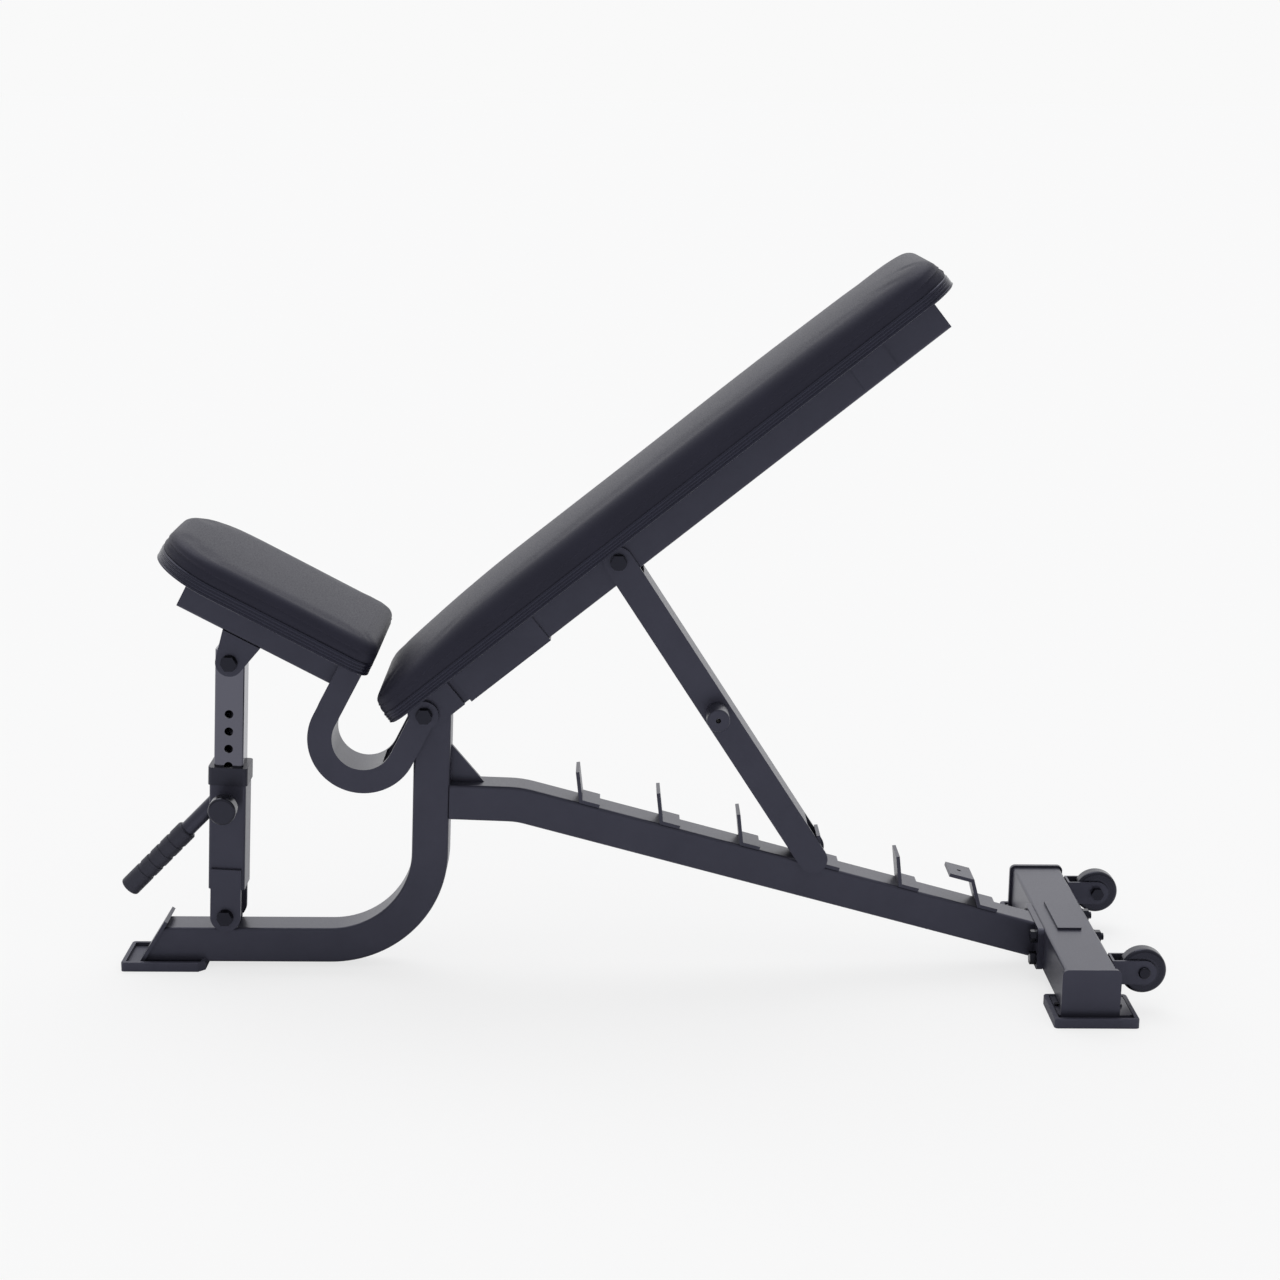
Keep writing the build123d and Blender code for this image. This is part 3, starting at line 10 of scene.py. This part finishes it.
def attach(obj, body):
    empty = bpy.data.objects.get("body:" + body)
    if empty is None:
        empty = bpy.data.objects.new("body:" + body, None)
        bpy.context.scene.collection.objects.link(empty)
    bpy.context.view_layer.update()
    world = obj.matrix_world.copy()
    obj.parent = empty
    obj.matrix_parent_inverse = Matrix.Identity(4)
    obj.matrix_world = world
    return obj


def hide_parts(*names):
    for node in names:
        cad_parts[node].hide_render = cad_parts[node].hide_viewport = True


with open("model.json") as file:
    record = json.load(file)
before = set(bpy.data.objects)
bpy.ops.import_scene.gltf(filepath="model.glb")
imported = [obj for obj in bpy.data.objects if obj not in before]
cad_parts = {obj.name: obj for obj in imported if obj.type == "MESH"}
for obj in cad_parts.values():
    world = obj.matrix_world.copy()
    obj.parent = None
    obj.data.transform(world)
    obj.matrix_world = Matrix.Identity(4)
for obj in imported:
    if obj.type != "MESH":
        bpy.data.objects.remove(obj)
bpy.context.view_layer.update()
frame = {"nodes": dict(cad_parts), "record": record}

bl_info = {
    "name": "Weight Bench",
    "version": (1, 0, 0),
    "blender": (4, 5, 0),
    "location": "View3D > Sidebar > Bench",
    "description": "Adjustable weight bench: upholstered pads, finishes and a plain studio",
    "category": "Object",
}

MM = 0.001
VINYL = "embossed vinyl"
TRAY_PLASTIC = "formed ABS tray"
COAT_TINT = "#dadcfa"
VINYL_TINT = "#dcdcf4"
PIVOT = next(joint["pos_m"] for joint in frame["record"]["behaviour"]["joints"]
             if joint["name"] == "backrest_tilt")


# ---- Materials ----

def linear(colour):
    """sRGB hex to linear red, green, blue and alpha."""
    parts = [int(colour[i:i + 2], 16) / 255 for i in (1, 3, 5)]
    return tuple(c / 12.92 if c <= 0.04045 else ((c + 0.055) / 1.055) ** 2.4 for c in parts) + (1.0,)


def add(tree, kind, inputs, **settings):
    """Adds a node, applies its settings, then sets or links its inputs."""
    node = tree.nodes.new("ShaderNode" + kind)
    for key, value in settings.items():
        setattr(node, key, value)
    for key, value in inputs.items():
        if isinstance(value, bpy.types.NodeSocket):
            tree.links.new(value, node.inputs[key])
        else:
            node.inputs[key].default_value = value
    return node


def new_material(name):
    """Empty node material, with Object coordinates ready in metres."""
    material = bpy.data.materials.new(name)
    material.use_nodes = True
    tree = material.node_tree
    tree.nodes.clear()
    return material, tree, add(tree, "TexCoord", {}).outputs["Object"]


def clouded(name, dark, light, roughness, grit, depth, **constants):
    """Opaque coat in two close tones, with grit of a given size and depth in millimetres."""
    material, tree, place = new_material(name)
    cloud = add(tree, "TexNoise", {"Vector": place, "Scale": 1 / (45 * MM), "Detail": 3.0}).outputs[0]
    grain = add(tree, "TexNoise", {"Vector": place, "Scale": 1 / (grit * MM), "Detail": 1.5}).outputs[0]
    colour = add(tree, "Mix", {0: cloud, 6: linear(dark), 7: linear(light)}, data_type="RGBA").outputs[2]
    rough = add(tree, "MapRange", {"Value": grain, "To Min": roughness - 0.07, "To Max": roughness + 0.07})
    bump = add(tree, "Bump", {"Height": grain, "Distance": depth * MM, "Strength": 1.0})
    shader = add(tree, "BsdfPrincipled", {"Base Color": colour, "Roughness": rough.outputs[0],
                                          "Normal": bump.outputs[0],
                                          "Specular Tint": linear(COAT_TINT), **constants})
    add(tree, "OutputMaterial", {"Surface": shader.outputs[0]})
    return material


def coated_fabric(colours):
    """PVC on a knit backing, embossed by a roller: dull, with pebbles that catch light at a low angle."""
    material, tree, place = new_material(VINYL)
    # Real pebbles are about 1 mm, drawn 2 mm so that they show
    pebble = add(tree, "TexVoronoi", {"Vector": place, "Scale": 1 / (2.0 * MM), "Randomness": 0.8},
                 feature="SMOOTH_F1").outputs["Distance"]
    drift = add(tree, "TexNoise", {"Vector": place, "Scale": 1 / (70 * MM), "Detail": 3.0}).outputs[0]
    colour = add(tree, "Mix", {0: drift, 6: linear(colours.vinyl_dark), 7: linear(colours.vinyl_light)},
                 data_type="RGBA").outputs[2]
    rough = add(tree, "MapRange", {"Value": pebble, "To Min": 0.44, "To Max": 0.66}).outputs[0]
    bump = add(tree, "Bump", {"Height": pebble, "Distance": 0.28 * MM, "Strength": 0.5}, invert=True)
    shader = add(tree, "BsdfPrincipled", {"Base Color": colour, "Roughness": rough,
                                          "Normal": bump.outputs[0], "Specular IOR Level": 0.38,
                                          "Specular Tint": linear(VINYL_TINT)})
    add(tree, "OutputMaterial", {"Surface": shader.outputs[0]})
    return material


def chromed_steel(colours):
    """Chromium plate on drawn tube, with fine marks along the way it slides; its colour is darker than
    chrome's own, as painted shade for the dark surroundings it reflects.
    """
    material, tree, place = new_material("chromium plate")
    along = add(tree, "Mapping", {"Vector": place, "Scale": (1.0, 1.0, 0.05)}).outputs[0]
    # Real marks are 0.1 mm apart, drawn 1 mm so that they show
    marks = add(tree, "TexNoise", {"Vector": along, "Scale": 1 / (1.0 * MM), "Detail": 2.0}).outputs[0]
    rough = add(tree, "MapRange", {"Value": marks, "To Min": 0.10, "To Max": 0.24}).outputs[0]
    bump = add(tree, "Bump", {"Height": marks, "Distance": 0.006 * MM, "Strength": 1.0})
    shader = add(tree, "BsdfPrincipled", {"Base Color": linear(colours.chrome), "Metallic": 1.0,
                                          "Roughness": rough, "Normal": bump.outputs[0]})
    add(tree, "OutputMaterial", {"Surface": shader.outputs[0]})
    return material


def zinc_plate():
    """Bright zinc on turned and cold-drawn steel: pale grey, a little clouded."""
    material, tree, place = new_material("bright zinc plate")
    cloud = add(tree, "TexNoise", {"Vector": place, "Scale": 1 / (6 * MM), "Detail": 3.0}).outputs[0]
    colour = add(tree, "Mix", {0: cloud, 6: linear("#9fa1a6"), 7: linear("#c2c4c9")}, data_type="RGBA")
    rough = add(tree, "MapRange", {"Value": cloud, "To Min": 0.26, "To Max": 0.42})
    shader = add(tree, "BsdfPrincipled", {"Base Color": colour.outputs[2], "Metallic": 1.0,
                                          "Roughness": rough.outputs[0]})
    add(tree, "OutputMaterial", {"Surface": shader.outputs[0]})
    return material


def birch_plywood():
    """Rotary-cut birch veneer: a long soft figure about 8 mm wide."""
    material, tree, place = new_material("birch plywood")
    along = add(tree, "Mapping", {"Vector": place, "Scale": (0.08, 1.0, 0.08)}).outputs[0]
    figure = add(tree, "TexNoise", {"Vector": along, "Scale": 1 / (8 * MM), "Detail": 4.0}).outputs[0]
    colour = add(tree, "Mix", {0: figure, 6: linear("#8f7049"), 7: linear("#c4a475")}, data_type="RGBA")
    bump = add(tree, "Bump", {"Height": figure, "Distance": 0.05 * MM, "Strength": 0.6})
    shader = add(tree, "BsdfPrincipled", {"Base Color": colour.outputs[2], "Roughness": 0.7,
                                          "Normal": bump.outputs[0]})
    add(tree, "OutputMaterial", {"Surface": shader.outputs[0]})
    return material


def finishes(colours):
    """Finish of each slot in the record."""
    return {
        # Polyester powder baked on steel: satin, with an orange peel about 2 mm across
        "frame_paint": clouded("satin powder coat", colours.frame_dark, colours.frame_light, 0.33, 2.2, 0.03),
        "pad_vinyl": coated_fabric(colours),
        # Vacuum-formed ABS: a satin skin that brightens along the ribs
        "cover_plastic": clouded(TRAY_PLASTIC, "#12121c", "#191926", 0.26, 1.6, 0.02),
        "plywood": birch_plywood(),
        # Compression-moulded rubber: dull, with tones that vary at random; both tones are lifted greyer as
        # painted light, standing in for the extra light that falls on the bench's rear end
        "foot_rubber": clouded("moulded rubber", "#30303a", "#3c3c47", 0.52, 1.8, 0.05),
        # Dipped in liquid PVC: a soft, even skin that is dull along its ridges
        "grip_rubber": clouded("dipped soft rubber", "#26262c", "#323239", 0.55, 1.8, 0.05),
        # Cast polyurethane: dense and slightly glossy
        "wheel_tyre": clouded("cast polyurethane", "#09090d", "#101015", 0.26, 2.0, 0.02),
        # Injection-moulded nylon: an even satin, a little lighter than the tyre
        "wheel_hub": clouded("moulded nylon hub", "#1d1d23", "#27272e", 0.36, 1.6, 0.03),
        "leg_chrome": chromed_steel(colours),
        # Injection-moulded nylon: satin, rubbed duller by the sliding tube
        "collar_plastic": clouded("moulded nylon collar", "#17171c", "#202027", 0.40, 1.6, 0.03),
        # Compression-moulded phenolic: hard and glossy, with a small bright highlight
        "knob_plastic": clouded("moulded phenolic", "#101014", "#18181d", 0.24, 2.4, 0.02),
        "bare_steel": zinc_plate(),
        # Black zinc on cold-headed steel: near black, glossy enough to edge each flat with light
        "black_hardware": clouded("black zinc plate", "#050507", "#09090c", 0.16, 3.0, 0.03,
                                  **{"Specular IOR Level": 0.38}),
    }


# ---- Upholstery ----

CLOTH_CELL = 6 * MM
CLOTH_FRAMES = 20
FOAM_PRESSURE = 4.0
STAPLED_EDGE = 5 * MM           # height above the base that staples hold to the board
SIDE_SPACING = 7 * MM
WELD = 0.02 * MM
SIDE_SWELL = 0.8 * MM
SEAM_WIDTH = 0.7 * MM

def plan_loop(length, width, first, last, insets):
    """Loops round a rounded rectangle, one for each inset, as an array of loops by points by xy.

    A point on a corner is its centre plus its radius times the cosine and sine of an angle that runs a
    quarter turn. The straight sides run evenly between corners. An inset brings the sides in by that much
    and shrinks each radius in the same proportion as the half width, so the loops close on the middle
    line. Also returned is how far along its side a point is, as half a sine wave, which is 0 on corners.
    """
    half = np.array([length, width]) / 2
    inset = np.asarray(insets)[:, None]
    shrink = 1 - inset / half[1]
    signs = ((1, 1, last), (-1, 1, first), (-1, -1, first), (1, -1, last))
    corners = []
    for quarter, (sx, sy, radius) in enumerate(signs):
        turn = (quarter + np.linspace(0, 1, 15)) * np.pi / 2
        r = radius * shrink
        corners.append(np.stack([sx * (half[0] - inset - r) + r * np.cos(turn),
                                 sy * (half[1] - inset - r) + r * np.sin(turn)], axis=-1))
    parts, sag = [], []
    for corner, following in zip(corners, corners[1:] + corners[:1]):
        start, end = corner[:, -1], following[:, 0]
        count = int(np.hypot(*(end - start)[0]) / SIDE_SPACING)
        step = np.arange(1, count)[:, None] / count
        parts += [corner, start[:, None] + (end - start)[:, None] * step]
        sag += [np.zeros(corner.shape[1]), np.sin(np.pi * step[:, 0])]
    return np.concatenate(parts, axis=1), np.concatenate(sag)


def cushion_section(width, height, shoulder, seam):
    """Insets and heights of a cushion's loops, from the middle of its base to the middle of its top.

    The base is flat. The side swells as half a sine wave of its height. The shoulder is a quarter circle.
    The seam where the side band is sewn to the top is a narrow bell curve that stands out where the
    shoulder starts.
    """
    base = np.append(np.linspace(width / 2, 8 * MM, 12), [3 * MM, 0.8 * MM])
    rise = np.linspace(0.02, 1, 9)[:-1] * (height - shoulder - 2 * MM)
    side = -SIDE_SWELL * np.sin(np.pi * rise / (height - shoulder))
    stitch = np.array([-2.0, -1.2, -0.6, 0.0, 0.6, 1.2]) * MM
    ridge = -seam * np.exp(-(stitch / SEAM_WIDTH) ** 2)
    turn = np.linspace(0, np.pi / 2, 10)[2:]
    inset = np.concatenate([base, side, ridge, shoulder * (1 - np.cos(turn)),
                            np.linspace(shoulder, width / 2, 17)[1:]])
    level = np.concatenate([0 * base, rise, height - shoulder + stitch,
                            height - shoulder + shoulder * np.sin(turn), np.full(16, height)])
    return inset, level


def ring_quads(rings, around, closed=False):
    """Quads between neighbouring rings of points, and from the last to the first where closed."""
    i, rows = np.arange(around), np.arange(rings if closed else rings - 1)[:, None]
    above = (rows + 1) % rings
    return np.stack([rows * around + i, rows * around + (i + 1) % around,
                     above * around + (i + 1) % around, above * around + i], axis=-1).reshape(-1, 4)


def cushion(length, height, shoulder, crown, falls, first, last, pads):
    """Points and quads of a cushion: plan loops stacked by its section, then crowned and drawn in.

    The crown adds its height times one less the square of the place across. Towards each end the top falls
    by a depth times the square of how far a point is into the fall's length. The sides are drawn in by a
    share of the half sine along each side and of the half sine up the height.
    """
    inset, level = cushion_section(pads.width, height, shoulder, pads.seam)
    loops, sag = plan_loop(length, pads.width, first, last, inset)
    x, y = loops[..., 0], loops[..., 1]
    z = np.repeat(level[:, None], loops.shape[1], axis=1)
    lift = np.clip(z / height, 0, 1) ** 3
    dome = crown * (1 - (2 * y / pads.width) ** 2)
    for side, (depth, run) in zip((-1, 1), falls):
        dome = dome - depth * np.clip((side * x - length / 2) / run + 1, 0, 1) ** 2
    draw = pads.draw * sag * np.sin(np.pi * z / height) * (inset[:, None] < shoulder)
    reach = np.maximum(np.hypot(x, y), MM)
    x, y = x * (1 - draw / reach), y * (1 - draw / reach)
    points = np.stack([x, y, z + dome * lift], axis=-1).reshape(-1, 3)
    return points, ring_quads(*loops.shape[:2])


def ribbed_skirt(length, width, first, last, tray, height, pads):
    """Points and quads of a band round a tray: plan loops carried round a closed section.

    The section's outer side stands out by the rib's depth times the square root of a sine's absolute
    value, with one hump to a rib, and ends in a lip that stands out further. Its inner side runs straight
    up the tray and then steps in over the tray's edge to the foam.
    """
    up = np.linspace(0, 1, pads.ribs * 8 + 1)
    wave = np.sqrt(np.abs(np.sin(np.pi * pads.ribs * up)))
    lip = np.array([[pads.gap, 0.0], [1.2 * MM, 0.0], [1.9 * MM, 0.6 * MM], [2.0 * MM, 1.3 * MM],
                    [1.7 * MM, 2.2 * MM], [0.9 * MM, 2.9 * MM]])
    ribs = np.column_stack([0.4 * MM + pads.rib * wave, 3.4 * MM + up * (height - 3.9 * MM)])
    top = np.array([[0.4 * MM, height], [-1.2 * MM, height], [-1.2 * MM, tray], [pads.gap, tray]])
    section = np.concatenate([lip, ribs, top])
    loops, _ = plan_loop(length, width, first, last, -section[:, 0])
    level = np.repeat(section[:, 1:], loops.shape[1], axis=1)
    return np.dstack([loops, level]).reshape(-1, 3), ring_quads(*loops.shape[:2], closed=True)


def on_pad(points, tilt, along, above):
    """Points of a pad's own frame turned about the main pivot to the pad's tilt."""
    a = radians(tilt)
    x, y, z = points[:, 0] + along, points[:, 1], points[:, 2] + above
    return np.stack([PIVOT[0] + x * cos(a) - z * sin(a), y, PIVOT[2] + x * sin(a) + z * cos(a)], axis=-1)


def new_piece(name, points, faces, material):
    """Mesh object at the origin, welded, smooth and facing outwards."""
    mesh = bpy.data.meshes.new(name)
    mesh.from_pydata(points.tolist(), [], faces.tolist())
    shell = bmesh.new()
    shell.from_mesh(mesh)
    bmesh.ops.remove_doubles(shell, verts=shell.verts, dist=WELD)
    bmesh.ops.recalc_face_normals(shell, faces=shell.faces)
    shell.to_mesh(mesh)
    shell.free()
    mesh.shade_smooth()
    mesh.materials.append(material)
    piece = bpy.data.objects.new(name, mesh)
    bpy.context.scene.collection.objects.link(piece)
    return piece


def read_points(mesh):
    """Places of a mesh's points, as rows of x, y and z."""
    flat = np.empty(len(mesh.vertices) * 3)
    mesh.vertices.foreach_get("co", flat)
    return flat.reshape(-1, 3)


def apply_modifiers(piece):
    """Bakes a piece's modifiers, as they stand at the present frame, into its mesh."""
    graph = bpy.context.evaluated_depsgraph_get()
    baked = bpy.data.meshes.new_from_object(piece.evaluated_get(graph))
    piece.modifiers.clear()
    old, piece.data = piece.data, baked
    baked.name = old.name
    bpy.data.meshes.remove(old)


def inflate(piece, up, base, cap):
    """Swells a cushion with a cloth simulation, its base held, and caps how far a point moves.

    A copy is remeshed in even cells, because cloth needs them, and the cushion follows it by Surface
    Deform, so its seams stay as fine as they were modelled. The pad's own up is given, and its base's
    height along it. The cap stands for a cover that is stretched tight over its foam.
    """
    scene = bpy.context.scene
    proxy = bpy.data.objects.new(piece.name + "_cloth", piece.data.copy())
    scene.collection.objects.link(proxy)
    remesh = proxy.modifiers.new("even cells", "REMESH")
    remesh.mode, remesh.voxel_size = "VOXEL", CLOTH_CELL
    apply_modifiers(proxy)

    height = read_points(proxy.data) @ up - base
    held = proxy.vertex_groups.new(name="held")
    held.add(np.flatnonzero(height < STAPLED_EDGE).tolist(), 1.0, "REPLACE")
    cloth = proxy.modifiers.new("foam", "CLOTH")
    cloth.settings.use_pressure = True
    cloth.settings.uniform_pressure_force = FOAM_PRESSURE
    cloth.settings.effector_weights.gravity = 0.0
    cloth.settings.vertex_group_mass = "held"
    cloth.settings.quality = 6

    follow = piece.modifiers.new("follow", "SURFACE_DEFORM")
    follow.target = proxy
    with bpy.context.temp_override(object=piece, active_object=piece, selected_objects=[piece]):
        bpy.ops.object.surfacedeform_bind(modifier=follow.name)
    if not follow.is_bound:
        raise RuntimeError("the cushion could not be tied to its cloth")
    before = read_points(piece.data)
    for frame_number in range(1, CLOTH_FRAMES + 1):
        scene.frame_set(frame_number)
    apply_modifiers(piece)
    scene.frame_set(1)
    bpy.data.objects.remove(proxy)

    moved = read_points(piece.data) - before
    length = np.maximum(np.linalg.norm(moved, axis=1), 1e-9)
    after = before + moved * np.minimum(1, cap / length)[:, None]
    piece.data.vertices.foreach_set("co", after.ravel())
    piece.data.update()
    print(piece.name, "swelled by up to", round(length.max() / MM, 2), "mm, cap", cap / MM)


# ---- Settings ----

class BenchColours(bpy.types.PropertyGroup):
    """Colours of the finishes and of the studio"""
    frame_dark: bpy.props.StringProperty(name="Paint, dark", description="Powder coat, darker clouds",
                                         default="#2b2b34")
    frame_light: bpy.props.StringProperty(name="Paint, light", description="Powder coat, lighter clouds",
                                          default="#363640")
    vinyl_dark: bpy.props.StringProperty(name="Vinyl, dark", description="Upholstery, darker drift",
                                         default="#191923")
    vinyl_light: bpy.props.StringProperty(name="Vinyl, light", description="Upholstery, lighter drift",
                                          default="#23232f")
    # Darker than chrome's own colour: painted shade, for the dark surroundings the tube reflects
    chrome: bpy.props.StringProperty(name="Chrome", description="Inner leg tube", default="#5f5f69")
    floor: bpy.props.StringProperty(name="Floor", description="Studio floor", default="#efeff0")
    backdrop: bpy.props.StringProperty(name="Backdrop", description="Studio backdrop", default="#f9f9f9")


class BenchPads(bpy.types.PropertyGroup):
    """Sizes of the cushions and of their skirts"""
    width: bpy.props.FloatProperty(name="Width", description="Across both cushions", default=0.247,
                                   subtype="DISTANCE", unit="LENGTH")
    tray_width: bpy.props.FloatProperty(name="Tray width", description="Across both trays",
                                        default=0.250, subtype="DISTANCE", unit="LENGTH")
    seat_foam: bpy.props.FloatProperty(name="Seat foam", description="Height above the tray",
                                       default=0.0290, subtype="DISTANCE", unit="LENGTH")
    back_foam: bpy.props.FloatProperty(name="Back foam", description="Height above the tray",
                                       default=0.0365, subtype="DISTANCE", unit="LENGTH")
    seat_shoulder: bpy.props.FloatProperty(name="Seat shoulder", description="Rounding of the upper edge",
                                           default=0.013, subtype="DISTANCE", unit="LENGTH")
    back_shoulder: bpy.props.FloatProperty(name="Back shoulder", description="Rounding of the upper edge",
                                           default=0.022, subtype="DISTANCE", unit="LENGTH")
    rib: bpy.props.FloatProperty(name="Rib depth", description="How far the skirt's ribs stand out",
                                 default=0.0012, subtype="DISTANCE", unit="LENGTH")
    gap: bpy.props.FloatProperty(name="Gap", description="Between the tray's side and the skirt",
                                 default=0.00025, subtype="DISTANCE", unit="LENGTH")
    seam: bpy.props.FloatProperty(name="Seam", description="Depth of the sewn edge below the top",
                                  default=0.0009, subtype="DISTANCE", unit="LENGTH")
    seat_crown: bpy.props.FloatProperty(name="Seat crown", description="Rise of the top across the pad",
                                        default=0.0025, subtype="DISTANCE", unit="LENGTH")
    back_crown: bpy.props.FloatProperty(name="Back crown", description="Rise of the top across the pad",
                                        default=0.0085, subtype="DISTANCE", unit="LENGTH")
    ribs: bpy.props.IntProperty(name="Ribs", description="Ribs round each skirt", default=3)
    draw: bpy.props.FloatProperty(name="Draw", description="How far the sides pull in between corners",
                                  default=0.0015, subtype="DISTANCE", unit="LENGTH")
    swell: bpy.props.FloatProperty(name="Swell", description="Most that the foam pushes the cover out",
                                   default=0.0015, subtype="DISTANCE", unit="LENGTH")


# ---- Pieces ----

# Depth and length of each cushion's fall at its start, then at its end
FALLS = {"seat": ((3 * MM, 90 * MM), (0, 1)), "backrest": ((14 * MM, 260 * MM), (6 * MM, 360 * MM))}

# Name, body, CAD node, tilt, start and end from the pivot, corner radii at start and end, heights above
# the pivot of the foam's underside and of the skirt's lower and upper edges
PADS = (("seat_cushion", "seat", "seat_pad", -27.8, -0.410, -0.096, 0.085, 0.026, 0.0481, 0.0330, 0.0495),
        ("back_cushion", "backrest", "back_pad", 38.7, -0.024, 0.901, 0.030, 0.042, 0.0446, 0.0310, 0.0460))


# Camera as it stands in front of the bench, in metres and degrees
CAMERA_PLACE = (0.6268, -3.0, 1.1875)
CAMERA_YAW, CAMERA_PITCH, CAMERA_ROLL = -0.6, 76.5, 0.5
FLOOR_REACH = 400.0
BACKDROP_SHARE = 0.78


class BENCH_OT_finishes(bpy.types.Operator):
    """Gives every CAD piece the finish of its slot"""
    bl_idname = "bench.finishes"
    bl_label = "Finishes"

    def execute(self, context):
        made = finishes(context.scene.bench_colours)
        for part in frame["record"]["subparts"]:
            for slot in frame["nodes"][part["node"]].material_slots:
                slot.material = made[part["material_slot"]]
        return {"FINISHED"}


class BENCH_OT_cushions(bpy.types.Operator):
    """Upholsters the seat and the backrest"""
    bl_idname = "bench.cushions"
    bl_label = "Cushions"

    def execute(self, context):
        pads = context.scene.bench_pads
        vinyl = bpy.data.materials[VINYL]
        for name, body, node, tilt, start, end, first, last, above, _, _ in PADS:
            form = ((pads.seat_foam, pads.seat_shoulder, pads.seat_crown) if body == "seat"
                    else (pads.back_foam, pads.back_shoulder, pads.back_crown))
            points, quads = cushion(end - start, *form, FALLS[body], first, last, pads)
            points = on_pad(points, tilt, (start + end) / 2, above)
            piece = new_piece(name, points, quads, vinyl)
            up = np.array([-sin(radians(tilt)), 0, cos(radians(tilt))])
            inflate(piece, up, points[0] @ up, pads.swell)
            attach(piece, body)
            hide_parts(node)
        return {"FINISHED"}


class BENCH_OT_skirts(bpy.types.Operator):
    """Rings the two trays with their ribbed skirts"""
    bl_idname = "bench.skirts"
    bl_label = "Ribbed skirts"

    def execute(self, context):
        pads = context.scene.bench_pads
        plastic = bpy.data.materials[TRAY_PLASTIC]
        for name, body, _, tilt, start, end, first, last, above, low, high in PADS:
            points, quads = ribbed_skirt(end - start, pads.tray_width, first, last, above - low,
                                         high - low, pads)
            points = on_pad(points, tilt, (start + end) / 2, low)
            piece = new_piece(name.replace("cushion", "skirt"), points, quads, plastic)
            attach(piece, body)
        return {"FINISHED"}


class BENCH_OT_stage(bpy.types.Operator):
    """Sets the floor, the light and the camera"""
    bl_idname = "bench.stage"
    bl_label = "Studio"

    def execute(self, context):
        scene = context.scene
        colours = scene.bench_colours
        scene.view_settings.view_transform = "Standard"

        reach = FLOOR_REACH
        mesh = bpy.data.meshes.new("studio_floor")
        mesh.from_pydata([(-reach, -reach, 0), (reach, -reach, 0), (reach, reach, 0), (-reach, reach, 0)],
                         [], [(0, 1, 2, 3)])
        material, tree, _ = new_material("matt paper")
        paper = add(tree, "BsdfPrincipled", {"Base Color": linear(colours.floor), "Roughness": 1.0,
                                             "Specular IOR Level": 0.0})
        glow = add(tree, "Emission", {"Color": linear(colours.backdrop), "Strength": 1.0})
        # To the eye the floor is mostly backdrop, which keeps the shadow faint
        share = add(tree, "Math", {0: add(tree, "LightPath", {}).outputs["Is Camera Ray"],
                                    1: BACKDROP_SHARE},
                    operation="MULTIPLY")
        mixed = add(tree, "MixShader", {0: share.outputs[0], 1: paper.outputs[0], 2: glow.outputs[0]})
        add(tree, "OutputMaterial", {"Surface": mixed.outputs[0]})
        mesh.materials.append(material)
        floor = bpy.data.objects.new("studio_floor", mesh)
        scene.collection.objects.link(floor)

        # The light grows overhead and towards the backdrop, and the camera's side stays dim
        world = bpy.data.worlds.new("studio")
        scene.world = world
        world.use_nodes = True
        tree = world.node_tree
        tree.nodes.clear()
        way = add(tree, "SeparateXYZ", {0: add(tree, "TexCoord", {}).outputs["Generated"]})
        above = add(tree, "MapRange", {"Value": way.outputs["Z"], "To Min": 0.40, "To Max": 0.80})
        behind = add(tree, "MapRange", {"Value": way.outputs["Y"], "To Min": 0.0, "To Max": 0.85})
        level = add(tree, "Math", {0: above.outputs[0], 1: behind.outputs[0]}, operation="ADD")
        light = add(tree, "Background", {"Color": (1, 1, 1, 1), "Strength": level.outputs[0]})
        seen = add(tree, "Background", {"Color": linear(colours.backdrop), "Strength": 1.0})
        ray = add(tree, "LightPath", {}).outputs["Is Camera Ray"]
        mixed = add(tree, "MixShader", {0: ray, 1: light.outputs[0], 2: seen.outputs[0]})
        add(tree, "OutputWorld", {"Surface": mixed.outputs[0]})

        lamp = bpy.data.lights.new("overhead_light", "SUN")
        lamp.energy, lamp.angle = 0.85, radians(50)
        holder = bpy.data.objects.new("overhead_light", lamp)
        holder.rotation_euler = (radians(-18), radians(-8), 0)
        scene.collection.objects.link(holder)

        lens = bpy.data.cameras.new("product_camera")
        lens.lens, lens.sensor_width, lens.clip_end = 63.84, 36.0, 1000.0
        camera = bpy.data.objects.new("product_camera", lens)
        turn = (Matrix.Rotation(radians(CAMERA_YAW), 4, "Z") @ Matrix.Rotation(radians(CAMERA_PITCH), 4, "X")
                @ Matrix.Rotation(radians(CAMERA_ROLL), 4, "Z"))
        camera.matrix_world = Matrix.Translation(CAMERA_PLACE) @ turn
        scene.collection.objects.link(camera)
        scene.camera = camera
        return {"FINISHED"}


class BENCH_PT_panel(bpy.types.Panel):
    """Lists the bench's settings and its operators"""
    bl_idname = "BENCH_PT_panel"
    bl_label = "Weight Bench"
    bl_space_type = "VIEW_3D"
    bl_region_type = "UI"
    bl_category = "Bench"

    def draw(self, context):
        for group in (context.scene.bench_colours, context.scene.bench_pads):
            for key in type(group).__annotations__:
                self.layout.prop(group, key)
        for operator in OPERATORS:
            self.layout.operator(operator.bl_idname)


OPERATORS = (BENCH_OT_finishes, BENCH_OT_cushions, BENCH_OT_skirts, BENCH_OT_stage)
CLASSES = (BenchColours, BenchPads, *OPERATORS, BENCH_PT_panel)


def register():
    """Registers the classes and hangs the settings on the scene."""
    for item in CLASSES:
        bpy.utils.register_class(item)
    bpy.types.Scene.bench_colours = bpy.props.PointerProperty(type=BenchColours)
    bpy.types.Scene.bench_pads = bpy.props.PointerProperty(type=BenchPads)


def unregister():
    """Takes the settings and the classes away again."""
    del bpy.types.Scene.bench_pads
    del bpy.types.Scene.bench_colours
    for item in reversed(CLASSES):
        bpy.utils.unregister_class(item)


def main():
    """Builds the bench piece by piece."""
    register()
    bpy.ops.bench.finishes()
    bpy.ops.bench.cushions()
    bpy.ops.bench.skirts()
    bpy.ops.bench.stage()


if __name__ == "__main__":
    main()
